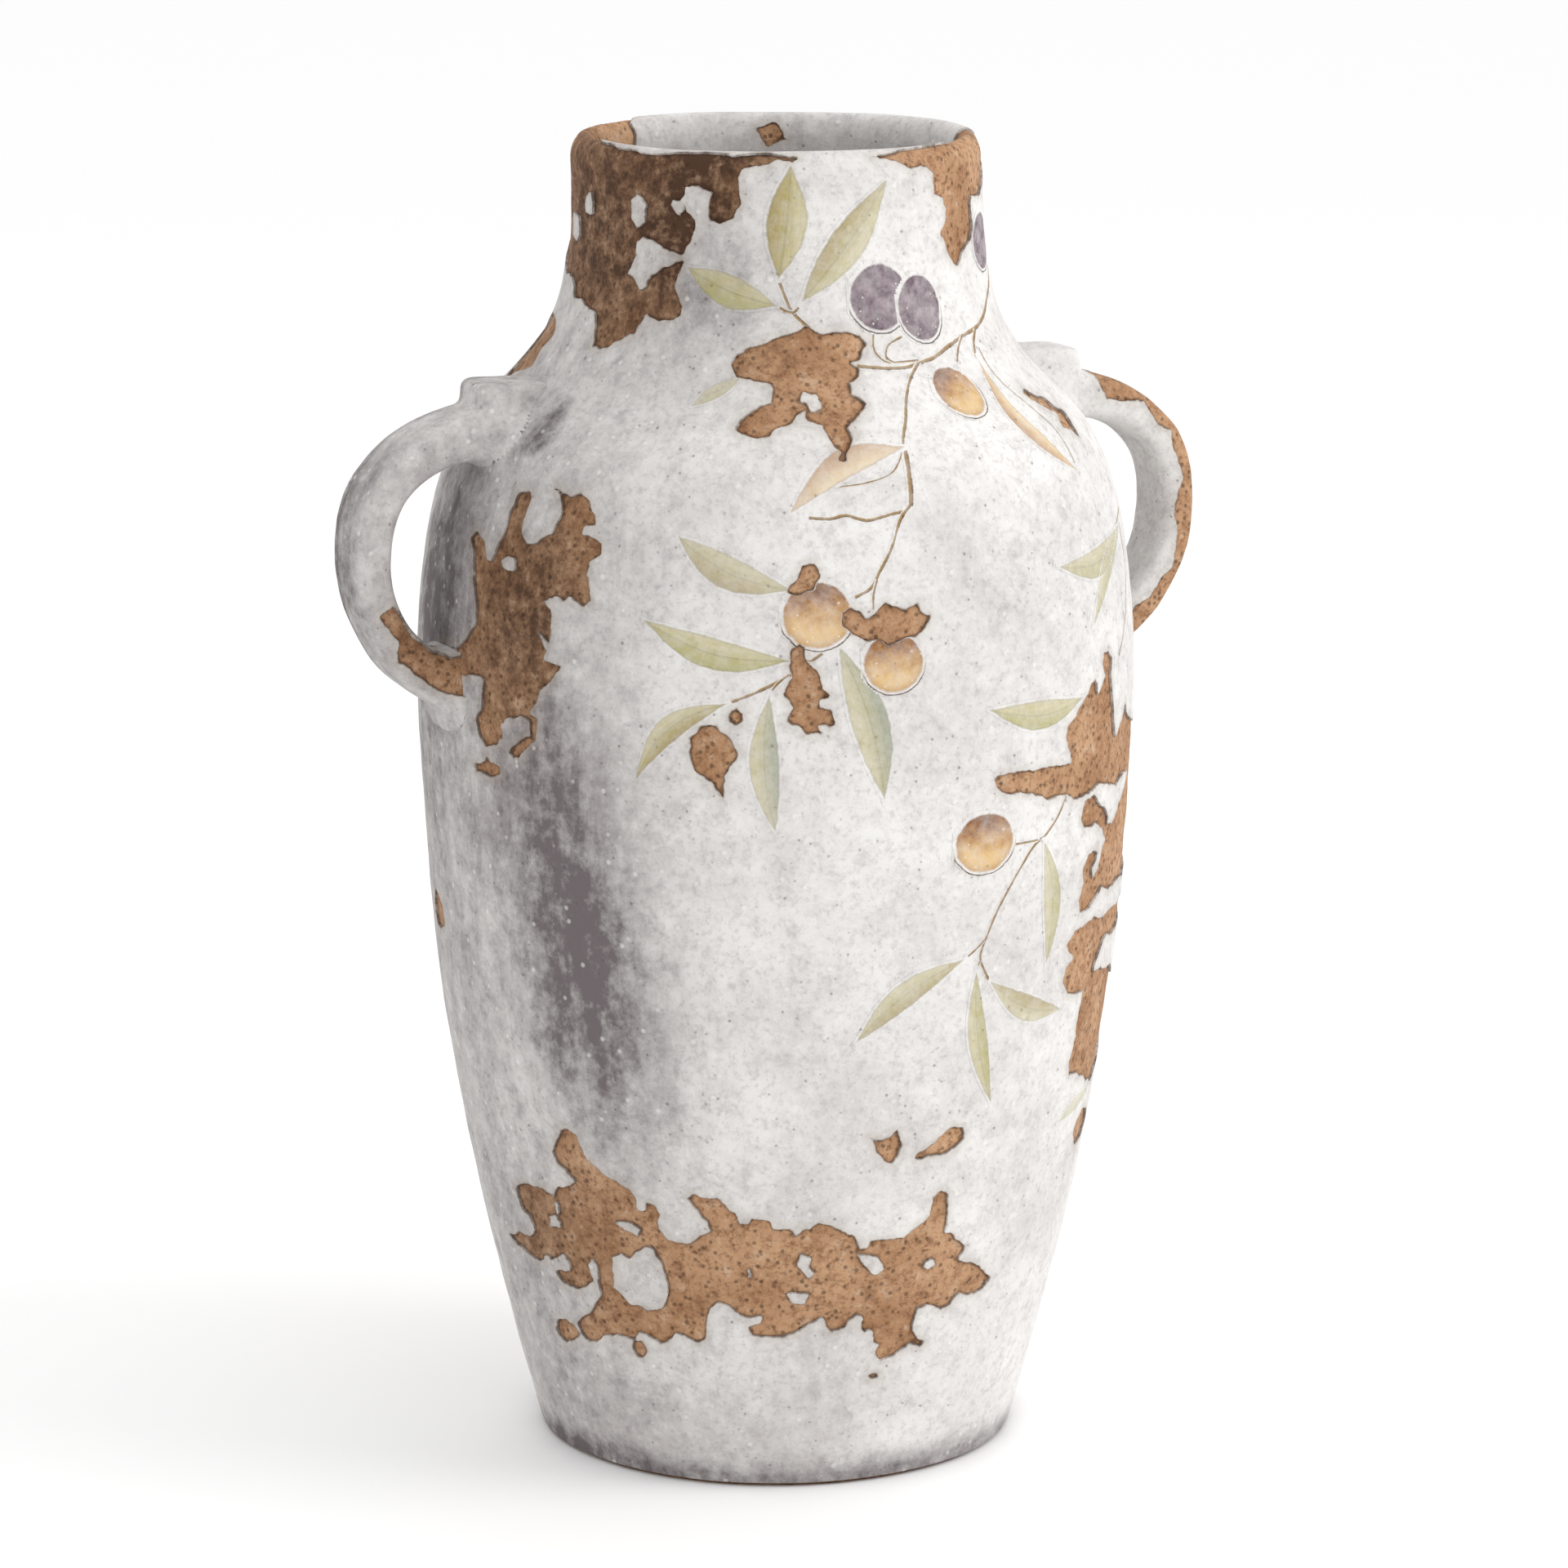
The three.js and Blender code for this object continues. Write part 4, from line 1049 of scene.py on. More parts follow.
def spin_ring(profile, closed=True):
    """Spins a section of radius and height into a ring."""
    bm = bmesh.new()
    verts = [bm.verts.new((r * MM, 0, z * MM)) for r, z in profile]
    edges = [bm.edges.new(pair) for pair in zip(verts, verts[1:])]
    if closed:
        edges.append(bm.edges.new((verts[-1], verts[0])))
    bmesh.ops.spin(bm, geom=verts + edges, cent=(0, 0, 0), axis=(0, 0, 1), angle=math.tau, steps=CLAY_STEPS,
                   use_merge=True)
    bmesh.ops.remove_doubles(bm, verts=bm.verts[:], dist=1e-6)
    bmesh.ops.recalc_face_normals(bm, faces=bm.faces[:])
    return bm


def on_wall(profile):
    """Radius and height of a section given as reach and depth."""
    reach, depth = np.array(profile).T
    places = wall_places(np.full(len(reach), 90.0), reach, depth)
    return [(p[0], p[2]) for p in places]


def angle_and_reach(bm):
    """The angle and the nearest reach of every vertex, from its place."""
    places = vert_array(bm) / MM
    angle = np.degrees(np.arctan2(places[:, 0], -places[:, 1]))
    radius = np.hypot(places[:, 0], places[:, 1])
    reach = places[:, 2].copy()
    high = np.where(places[:, 2] > LIP_ROOT - LIP_ZONE)[0]
    for index in high:
        away = (RADIUS - radius[index]) ** 2 + (RISE - places[index, 2]) ** 2
        reach[index] = REACH[int(np.argmin(away))]
    return places, angle, reach, radius


def weather_clay(bm):
    """Throws the clay by hand, roughens its face and marks where it is sooty or painted with shade, or near a
    broken edge.
    """
    places, angle, reach, radius = angle_and_reach(bm)
    outward = wall_outward(angle, reach)
    push = hand_thrown(wall_places(angle, reach))
    face = np.abs(np.interp(reach, REACH, RADIUS) - radius) < FACE_DEPTH
    rough = np.array([noise.fractal(Vector(p) / GRIT, 0.6, 2.1, 3) if f else 0 for p, f in zip(places, face)])
    push = push - face * np.clip(rough * GRIT_DEPTH + 0.05, -0.1, 0.5)
    for vert, place in zip(bm.verts, (places + outward * push[:, None]) * MM):
        vert.co = place
    write_layer(bm, "edge", np.where(face, bare(angle, reach), FAR))
    write_layer(bm, "soot_and_shade", spots(angle, reach, SOOT_AND_SHADE))
    crisp_edges(bm)


class AMPHORA_OT_clay(bpy.types.Operator):
    """Throws the base disc and the five clay rings that are luted together on half-lap joints."""

    bl_idname = "amphora.clay"
    bl_label = "Thrown clay"

    def execute(self, context):
        material = terracotta_material()
        rings = {
            "lower_body": (DISC_STEP + DISC_GAP, SEAMS["body"], False, True),
            "upper_body": (SEAMS["body"], SEAMS["shoulder"], True, True),
            "shoulder": (SEAMS["shoulder"], SEAMS["neck"], True, True),
            "neck": (SEAMS["neck"], SEAMS["lip"], True, False),
        }
        for name, (low, high, below, above) in rings.items():
            bm = spin_ring(on_wall(ring_profile(low, high, below, above)))
            weather_clay(bm)
            make_piece(f"clay_{name}", bm, material, [name])

        inside = REACH[-1] - (SEAMS["lip"] - RISE[-1]) + 0.3
        lip = [(v, CLAY_FACE) for v in rows(SEAMS["lip"] + JOINT_GAP, inside, LIP_ROW)]
        bm = spin_ring(on_wall(lip))
        weather_clay(bm)
        make_piece("clay_lip", bm, material, ["lip"])

        foot = FOOT_RADIUS - CLAY_FACE
        disc = [
            (0, FLOOR_TOP), (foot - CLAY_WALL, FLOOR_TOP), (foot - CLAY_WALL, DISC_STEP),
            (foot + 0.6, DISC_STEP), (foot, DISC_EDGE), (foot - DISC_EDGE, 0), (foot * 0.9, 0),
            (foot * 0.86, DISC_EDGE), (foot * 0.5, FOOT_HOLLOW), (0, FOOT_HOLLOW),
        ]
        bm = spin_ring(disc, closed=False)
        weather_clay(bm)
        make_piece("clay_base_disc", bm, material, ["base_disc"])
        return {"FINISHED"}


# ---- The lime coat ----

COAT_FACE = 0.0
GRID = 3.4


def wall_field(flat):
    """How bare each vertex of a flat mesh of angle and reach is."""
    return bare(flat[:, 0], flat[:, 1])


def coat_marks(bm, angle, reach):
    """Stores how stained the coat is, with its painted shade, and how far it is from its broken edge."""
    write_layer(bm, "stain_and_shade", spots(angle, reach, STAINS_AND_SHADE))
    layer = bm.verts.layers.float["bare"]
    write_layer(bm, "edge", [-v[layer] for v in bm.verts])


def coat_ring(low, high, spacing):
    """One band of the coat, broken open over its bare patches."""
    bm = bmesh.new()
    width = float(np.interp((low + high) / 2, REACH, RADIUS)) * math.tau
    bmesh.ops.create_grid(bm, x_segments=int(width / spacing), y_segments=int((high - low) / spacing) + 1,
                          size=0.5)
    for vert in bm.verts:
        vert.co = (vert.co.x * 360 + 20, low + (vert.co.y + 0.5) * (high - low), 0)
    refine(bm, wall_field, (4.2, 2.0))
    open_patches(bm, wall_field)
    flat = vert_array(bm)
    coat_marks(bm, flat[:, 0], flat[:, 1])
    lay_on_wall(bm, COAT_FACE)
    bmesh.ops.remove_doubles(bm, verts=bm.verts[:], dist=2e-5)
    thicken(bm, COAT)
    return bm


class AMPHORA_OT_coat(bpy.types.Operator):
    """Lays the lime coat on the wall in its five bands, with the places where it has flaked off."""

    bl_idname = "amphora.coat"
    bl_label = "Lime coat"

    def execute(self, context):
        material = lime_coat_material()
        bands = {
            "lower_body": (SEAMS["foot"], SEAMS["body"], GRID),
            "upper_body": (SEAMS["body"], SEAMS["shoulder"], GRID),
            "shoulder": (SEAMS["shoulder"], SEAMS["neck"], GRID),
            "neck": (SEAMS["neck"], SEAMS["lip"], GRID * 0.8),
            "mouth": (SEAMS["lip"], MOUTH_END, GRID * 0.55),
        }
        for name, (low, high, spacing) in bands.items():
            bm = coat_ring(low, high, spacing)
            make_piece(f"lime_coat_{name}", bm, material, [f"coat_{name}"])
        return {"FINISHED"}


# ---- Handles ----

STRAP_STEPS = 44
SECTION_POINTS = 40
SECTION_SQUARENESS = 4.2
LUG_SQUARENESS = 9
HANDLE_VOXEL = 1.25
HANDLE_SMOOTHING = 12
ROOT_DEPTH = 6
STRAP_SHOULDER = 45
STRAP_ROUND = 24
STRAP_LIFT = math.radians(16)
LUG_ROOT = 20
LUG_INSET = 1.5
FLARE = 5.5
FLARE_REACH = 8
FLARE_TOP = 406
CORE_DEPTH = 0.95
CORE_TRIM = 3.5
SKIN_TRIM = 1.6

# How far across each strap its bare patch runs, and how grey its coat and how sooty its clay are; the left
# strap's greater values are partly painted shade, as it stands on the side turned from the light.
HANDLE_BARE_ACROSS = {-1: 3, 1: 12}
HANDLE_GREY_AND_SHADE = {-1: 0.4, 1: 0.08}
HANDLE_SOOT_AND_SHADE = {-1: 0.3, 1: 0.05}


def strap_line():
    """Centre line of a strap in distance from the axis and height, with its thickness."""
    upper = float(np.interp(HANDLE_TOP, REACH, RADIUS)) - ROOT_DEPTH
    lower = float(np.interp(HANDLE_BOTTOM, REACH, RADIUS)) - ROOT_DEPTH
    middle = HANDLE_REACH - STRAP_THICKNESS / 2
    top = bezier((upper, HANDLE_TOP), (upper + STRAP_SHOULDER, HANDLE_TOP),
    (middle, HANDLE_MIDDLE + STRAP_ROUND),
                 (middle, HANDLE_MIDDLE), STRAP_STEPS)
    rise = (lower + STRAP_ROUND * math.cos(STRAP_LIFT), HANDLE_BOTTOM + STRAP_ROUND * math.sin(STRAP_LIFT))
    bottom = bezier((middle, HANDLE_MIDDLE), (middle, HANDLE_MIDDLE - STRAP_ROUND), rise,
                    (lower, HANDLE_BOTTOM), STRAP_STEPS)
    line = np.vstack([top, bottom[1:]])
    from_middle = np.abs(np.linspace(-1, 1, len(line)))
    thickness = STRAP_THICKNESS + (ROOT_THICKNESS - STRAP_THICKNESS) * from_middle**2
    return line, thickness


def section(half_thickness, half_width):
    """A rounded strap section, as offsets across the strap's thickness and width."""
    power = 2 / SECTION_SQUARENESS
    for turn in np.linspace(0, math.tau, SECTION_POINTS, endpoint=False):
        c, s = math.cos(turn), math.sin(turn)
        yield (half_thickness * math.copysign(abs(c) ** power, c),
               half_width * math.copysign(abs(s) ** power, s))


def strap_mesh(bm, side):
    """Sweeps the strap's section along its line."""
    line, thickness = strap_line()
    along = np.gradient(line, axis=0)
    along /= np.linalg.norm(along, axis=1)[:, None]
    before = []
    last = len(line) - 1
    for step, (place, way, thick) in enumerate(zip(line, along, thickness)):
        ring = bmesh.ops.create_circle(bm, segments=SECTION_POINTS, radius=1,
                                       cap_ends=step in (0, last))["verts"]
        for vert, (out, wide) in zip(ring, section(thick / 2, HANDLE_WIDTH / 2)):
            vert.co = (side * (place[0] + way[1] * out), wide, place[1] - way[0] * out)
        edges = list({edge for vert in ring for edge in vert.link_edges})
        if before:
            bmesh.ops.bridge_loops(bm, edges=before + edges)
        before = edges


def handle_source(side):
    """Strap and thumb lug as one closed mesh, before they are smoothed into each other."""
    bm = bmesh.new()
    strap_mesh(bm, side)
    upper = float(np.interp(HANDLE_TOP, REACH, RADIUS))
    back, nose = upper - LUG_ROOT, upper + LUG_LENGTH + 1
    low, top = HANDLE_TOP, LUG_TOP
    middle = Vector((side * (back + nose) / 2, 0, (low + top) / 2))
    half = ((nose - back) / 2, HANDLE_WIDTH / 2 - LUG_INSET, (top - low) / 2)
    lug = bmesh.new()
    bmesh.ops.create_cube(lug, size=2)
    bmesh.ops.subdivide_edges(lug, edges=lug.edges[:], cuts=9, use_grid_fill=True)
    for vert in lug.verts:
        size = sum(abs(c) ** LUG_SQUARENESS for c in vert.co) ** (1 / LUG_SQUARENESS)
        vert.co = middle + Vector([c / size * h for c, h in zip(vert.co, half)])
    mesh = bpy.data.meshes.new("lug")
    lug.to_mesh(mesh)
    lug.free()
    bm.from_mesh(mesh)
    bpy.data.meshes.remove(mesh)
    bmesh.ops.recalc_face_normals(bm, faces=bm.faces[:])
    bmesh.ops.scale(bm, vec=(MM, MM, MM), verts=bm.verts[:])
    return bm


def voxel_skin(bm, voxel):
    """One even skin over a mesh of several overlapping solids."""
    mesh = bpy.data.meshes.new("handle_source")
    bm.to_mesh(mesh)
    bm.free()
    source = bpy.data.objects.new("handle_source", mesh)
    bpy.context.scene.collection.objects.link(source)
    remesh = source.modifiers.new("skin", "REMESH")
    remesh.mode = "VOXEL"
    remesh.voxel_size = voxel * MM
    skinned = source.evaluated_get(bpy.context.evaluated_depsgraph_get()).to_mesh()
    made = bmesh.new()
    made.from_mesh(skinned)
    bpy.data.objects.remove(source)
    bpy.data.meshes.remove(mesh)
    return made


def handle_skin(side):
    """The handle's finished face: smoothed, uneven by hand, and spread where it joins the wall."""
    bm = voxel_skin(handle_source(side), HANDLE_VOXEL)
    for _ in range(HANDLE_SMOOTHING):
        bmesh.ops.smooth_vert(bm, verts=bm.verts[:], factor=0.5, use_axis_x=True, use_axis_y=True,
                              use_axis_z=True)
    bm.normal_update()
    places = vert_array(bm) / MM
    radius = np.hypot(places[:, 0], places[:, 1])
    clear = (radius - np.interp(places[:, 2], REACH, RADIUS)) * np.interp(places[:, 2], REACH, NORMAL_R)
    near_wall = np.clip(1 - clear / FLARE_REACH, 0, 1.1)
    below_top = np.clip((FLARE_TOP - places[:, 2]) / FLARE_REACH, 0, 1)
    flare = FLARE * near_wall**3 * below_top
    for vert, place, grow in zip(bm.verts, places, flare):
        uneven = noise.noise(Vector(place) / 22) * 0.8 + noise.noise(Vector(place) / 7) * 0.18
        vert.co += vert.normal * (grow + uneven) * MM
    return bm


def handle_field(side):
    """How bare each vertex of a handle's skin is, in millimetres."""
    outline = HANDLE_BARE[side]

    def field(coords):
        places = coords / MM
        away = np.abs(places[:, 0])
        inside = outline_distance(away, places[:, 2], outline)
        near_side = HANDLE_BARE_ACROSS[side] - places[:, 1]
        value = np.maximum(np.minimum(inside, near_side), -FAR)
        close = value > -NEAR_EDGE
        value[close] += ragged(places[close]) * (settings().handle_raggedness / MM)
        return value

    return field


def trim_to_wall(bm, depth):
    """Takes off what lies deeper in the wall than the depth."""
    places = vert_array(bm) / MM
    radius = np.hypot(places[:, 0], places[:, 1])
    deep = radius < np.interp(places[:, 2], REACH, RADIUS) - depth
    gone = [v for v, d in zip(bm.verts, deep) if d]
    bmesh.ops.delete(bm, geom=gone, context="VERTS")


def handle_stain_and_shade(places, side):
    """How stained a handle's coat is, with painted shade in it. Its lower root near the wall is greyer with
    painted shade, and so is the left one's outer face, with stain and painted shade.
    """
    away, across, height = np.abs(places[:, 0]), places[:, 1], places[:, 2]
    upper_face = np.clip((height - 300) / 120, 0, 1)
    inner = np.clip((150 - away) / 30, 0, 1)
    stain_and_shade = HANDLE_GREY_AND_SHADE[side] + 0.3 * inner * (1 - upper_face)
    if side < 0:
        outer_face = np.clip((away - 150) / 20, 0, 1) * np.clip((across + 15) / 8, 0, 1)
        stain_and_shade = stain_and_shade + 0.2 * (across > 6) + 0.4 * outer_face
    return stain_and_shade


class AMPHORA_OT_handles(bpy.types.Operator):
    """Pulls the two strap handles with their thumb lugs, and coats them."""

    bl_idname = "amphora.handles"
    bl_label = "Strap handles"

    def execute(self, context):
        coat = bpy.data.materials["brushed_lime_coat"]
        clay = bpy.data.materials["unglazed_terracotta"]
        for side, name in ((-1, "left"), (1, "right")):
            field = handle_field(side)
            core = handle_skin(side)
            core.normal_update()
            for vert in core.verts:
                vert.co -= vert.normal * COAT * CORE_DEPTH * MM
            trim_to_wall(core, CORE_TRIM)
            value = field(vert_array(core))
            write_layer(core, "edge", value)
            write_layer(core, "soot_and_shade", np.full(len(core.verts), HANDLE_SOOT_AND_SHADE[side]))
            holes = [e for e in core.edges if e.is_boundary]
            bmesh.ops.holes_fill(core, edges=holes, sides=0)
            bmesh.ops.triangulate(core, faces=[f for f in core.faces if len(f.verts) > 4])
            crisp_edges(core)
            make_piece(f"clay_handle_{name}", core, clay, [f"handle_{name}", f"lug_{name}"])

            skin = handle_skin(side)
            trim_to_wall(skin, SKIN_TRIM)
            refine(skin, field, (1.6,))
            open_patches(skin, field)
            write_layer(skin, "stain_and_shade", handle_stain_and_shade(vert_array(skin) / MM, side))
            layer = skin.verts.layers.float["bare"]
            write_layer(skin, "edge", [-v[layer] for v in skin.verts])
            skin.normal_update()
            bmesh.ops.solidify(skin, geom=skin.faces[:], thickness=COAT * MM)
            crisp_edges(skin)
            make_piece(f"lime_coat_handle_{name}", skin, coat, [f"coat_handle_{name}"])
        return {"FINISHED"}


# ---- Painted branches ----

PAINT_THICK = 0.3
PAINT_GAP = 0.25
PAINT_PROUD = {"olive_leaves": 0.14, "dry_leaves": 0.12, "olives": 0.17, "stems": 0.09}
BACK_PROUD = 0.01
OLIVE_OVERLAP = 0.03
STEM_OVERLAP = 0.004
OLIVE_REACH = 1.06
OLIVE_MARGIN = 1.14
LEAF_MARGIN = 0.9
STEM_MARGIN = 0.72
STEM_SPACING = 1.6


def millimetres_across(reach):
    """Degrees round the wall, and reach, that one millimetre of its face takes."""
    radius = float(np.interp(reach, REACH, RADIUS))
    return math.degrees(1 / radius), max(0.35, abs(float(np.interp(reach, REACH, NORMAL_R))))


def paint_field(flat):
    """The paint goes where the coat goes, short of its broken edge."""
    return bare(flat[:, 0], flat[:, 1]) + PAINT_GAP


def paint_sheet(columns, lines, place, mark, proud, round_off=False):
    """A thin patch of paint on the wall.

    `place` turns a grid point into angle and reach, and `mark` gives its place on the paint's own map.
    """
    bm = bmesh.new()
    bmesh.ops.create_grid(bm, x_segments=columns, y_segments=lines, size=0.5)
    sheet_u = bm.verts.layers.float.new("sheet_u")
    sheet_v = bm.verts.layers.float.new("sheet_v")
    for vert in bm.verts:
        across, up = vert.co.x * 2, vert.co.y * 2
        vert[sheet_u], vert[sheet_v] = mark(across, up)
        vert.co = (*place(across, up), 0)
    if round_off:
        corners = [f for f in bm.faces
                   if min(math.hypot(v[sheet_u], v[sheet_v]) for v in f.verts) > OLIVE_REACH]
        bmesh.ops.delete(bm, geom=corners, context="FACES")
    value = paint_field(vert_array(bm))
    if (value > 0).all():
        bm.free()
        return None
    if (value > 0).any():
        refine(bm, paint_field, (1.0,))
    open_patches(bm, paint_field)
    if not bm.faces:
        bm.free()
        return None
    flat = vert_array(bm)
    write_layer(bm, "stain_and_shade", spots(flat[:, 0], flat[:, 1], STAINS_AND_SHADE))
    layer = bm.verts.layers.float["bare"]
    write_layer(bm, "edge", [PAINT_GAP - v[layer] for v in bm.verts])
    lay_on_wall(bm, -proud)
    thicken(bm, PAINT_THICK)
    return bm


def add_sheet(whole, sheet, tint, numbers):
    """Joins one patch of paint to the others of its kind, with its own tint and numbers."""
    if sheet is None:
        return
    shade = sheet.verts.layers.float_color.new("tint")
    for vert in sheet.verts:
        vert[shade] = tint
    for name, value in numbers.items():
        write_layer(sheet, name, [value] * len(sheet.verts))
    uv = sheet.loops.layers.uv.new("Paint")
    sheet_u = sheet.verts.layers.float["sheet_u"]
    sheet_v = sheet.verts.layers.float["sheet_v"]
    for face in sheet.faces:
        for loop in face.loops:
            loop[uv].uv = (loop.vert[sheet_u], loop.vert[sheet_v])
    mesh = bpy.data.meshes.new("sheet")
    sheet.to_mesh(mesh)
    sheet.free()
    whole.from_mesh(mesh)
    bpy.data.meshes.remove(mesh)


def sprigs():
    """The front's branches as they are, and the back's, with their turn and rise."""
    yield 0, 0, 0
    for index, (turn, rise) in enumerate(BACK_SPRIGS, 1):
        yield index, turn, rise


def leaf_sheet(base, tip, width, bow, proud):
    """A long leaf from base to tip, bowed to one side."""
    middle = (base[1] + tip[1]) / 2
    per_mm, rise = millimetres_across(middle)
    dx, dy = (tip[0] - base[0]) / per_mm, (tip[1] - base[1]) / rise
    length = math.hypot(dx, dy)
    way = (dx / length, dy / length)
    half = width / 2

    def offsets(across, up):
        along = 0.5 + up * 0.53
        out = across * (half * max(0.0, math.sin(math.pi * min(1, max(0, along)))) + LEAF_MARGIN)
        return along, out

    def place(across, up):
        along, out = offsets(across, up)
        side = out + bow * length * math.sin(math.pi * along)
        x = way[0] * along * length + way[1] * side
        y = way[1] * along * length - way[0] * side
        return base[0] + x * per_mm, base[1] + y * rise

    def mark(across, up):
        along, out = offsets(across, up)
        return along, out / half

    return paint_sheet(12, max(12, int(length / 2)), place, mark, proud)


class AMPHORA_OT_leaves(bpy.types.Operator):
    """Paints the olive leaves and the two dry leaves on the coat."""

    bl_idname = "amphora.leaves"
    bl_label = "Painted leaves"

    def execute(self, context):
        for name, leaves, look in (("olive_leaves", LEAVES, leaf_paint),
                                   ("dry_leaves", DRY_LEAVES, dry_leaf_paint)):
            whole = bmesh.new()
            for index, turn, rise in sprigs():
                for base, tip, width, bow, tint, strength in leaves:
                    if index and base[1] > BACK_PAINT_TOP:
                        continue
                    ends = [(a + turn, v + rise) for a, v in (base, tip)]
                    proud = PAINT_PROUD[name] + BACK_PROUD * (index % 2)
                    sheet = leaf_sheet(*ends, width, bow, proud)
                    add_sheet(whole, sheet, colour(TINTS[tint]), {"strength": strength})
            material = paint_on_coat(f"tempera_{name}", look)
            make_piece(f"painted_{name}", whole, material)
        return {"FINISHED"}


class AMPHORA_OT_olives(bpy.types.Operator):
    """Paints the olives on the coat."""

    bl_idname = "amphora.olives"
    bl_label = "Painted olives"

    def execute(self, context):
        whole = bmesh.new()
        for index, turn, rise in sprigs():
            for order, (centre, half_width, half_height, lean, ripe) in enumerate(OLIVES):
                if index and centre[1] > BACK_PAINT_TOP:
                    continue
                middle = (centre[0] + turn, centre[1] + rise)
                per_mm, climb = millimetres_across(middle[1])
                c, s = math.cos(math.radians(lean)), math.sin(math.radians(lean))

                def place(across, up):
                    x, y = across * half_width * OLIVE_MARGIN, up * half_height * OLIVE_MARGIN
                    return middle[0] + (x * c - y * s) * per_mm, middle[1] + (x * s + y * c) * climb

                def mark(across, up):
                    return across * OLIVE_MARGIN, up * OLIVE_MARGIN

                proud = PAINT_PROUD["olives"] + OLIVE_OVERLAP * (order % 2)
                sheet = paint_sheet(30, 30, place, mark, proud, round_off=True)
                add_sheet(whole, sheet, colour("#9A6225"), {"strength": 1.0, "ripe": float(ripe)})
        material = paint_on_coat("tempera_olives", olive_paint)
        make_piece("painted_olives", whole, material)
        return {"FINISHED"}


def smooth_line(points):
    """A curve through given points, as evenly spaced angles and reaches."""
    points = np.array(points, float)
    padded = np.vstack([2 * points[0] - points[1], points, 2 * points[-1] - points[-2]])
    made = []
    for a, b, c, d in zip(padded, padded[1:], padded[2:], padded[3:]):
        per_mm, rise = millimetres_across(b[1])
        span = math.hypot((c[0] - b[0]) / per_mm, (c[1] - b[1]) / rise)
        for t in np.linspace(0, 1, max(2, int(span / STEM_SPACING)), endpoint=False):
            made.append(0.5 * (2 * b + (c - a) * t + (2 * a - 5 * b + 4 * c - d) * t**2
                               + (3 * b - a - 3 * c + d) * t**3))
    made.append(points[-1])
    return np.array(made)


def stem_sheet(points, width, proud):
    """A painted stroke along a curve."""
    line = smooth_line(points)
    way = np.gradient(line, axis=0)
    count = len(line) - 1
    lengths = [0.0]
    for here, there in zip(line, line[1:]):
        per_mm, rise = millimetres_across(here[1])
        lengths.append(lengths[-1] + math.hypot((there[0] - here[0]) / per_mm, (there[1] - here[1]) / rise))

    def place(across, up):
        step = min(count, max(0, int(round((up + 1) / 2 * count))))
        per_mm, rise = millimetres_across(line[step][1])
        dx, dy = way[step][0] / per_mm, way[step][1] / rise
        size = math.hypot(dx, dy) or 1
        out = across * width
        return line[step][0] + dy / size * out * per_mm, line[step][1] - dx / size * out * rise

    def mark(across, up):
        step = min(count, max(0, int(round((up + 1) / 2 * count))))
        return lengths[step], across

    return paint_sheet(4, count, place, mark, proud)


class AMPHORA_OT_stems(bpy.types.Operator):
    """Paints the stems and tendrils on the coat."""

    bl_idname = "amphora.stems"
    bl_label = "Painted stems"

    def execute(self, context):
        whole = bmesh.new()
        for index, turn, rise in sprigs():
            for order, (width, points) in enumerate(STEMS):
                if index and points[0][1] > BACK_STEM_TOP:
                    continue
                moved = [(a + turn, v + rise) for a, v in points]
                proud = PAINT_PROUD["stems"] + STEM_OVERLAP * (order % 5)
                sheet = stem_sheet(moved, width * STEM_MARGIN, proud)
                add_sheet(whole, sheet, colour("#7A5A30"), {"strength": 1.0})
        material = paint_on_coat("tempera_stems", stem_paint)
        make_piece("painted_stems", whole, material)
        return {"FINISHED"}


# ---- Stage ----

CAMERA_TURN = math.radians(-24)
CAMERA_AWAY = 2.223
CAMERA_HEIGHT = 0.7377
CAMERA_DOWN = math.radians(12.36)
CAMERA_ASIDE = math.radians(0.0785)
LENS = 136.9
POT_MIDDLE = (0, 0, 0.25)
SKY_STRENGTH = 0.98

# Lights: turn and rise in degrees, distance and width in metres, power in watts.
LIGHTS = {"key": (52, 30, 2.4, 1.3, 16), "top": (60, 74, 2.2, 1.6, 4)}


def area_light(name, turn, rise, away, size, power):
    """A soft light at a turn and rise in degrees from the pot, facing it."""
    light = bpy.data.lights.new(name, "AREA")
    light.shape = "DISK"
    light.size = size
    light.energy = power
    lamp = bpy.data.objects.new(name, light)
    bpy.context.scene.collection.objects.link(lamp)
    a, e = math.radians(turn), math.radians(rise)
    back = Vector((math.sin(a) * math.cos(e), -math.cos(a) * math.cos(e), math.sin(e)))
    lamp.location = Vector(POT_MIDDLE) + back * away
    lamp.rotation_mode = "QUATERNION"
    lamp.rotation_quaternion = (-back).to_track_quat("-Z", "Y")


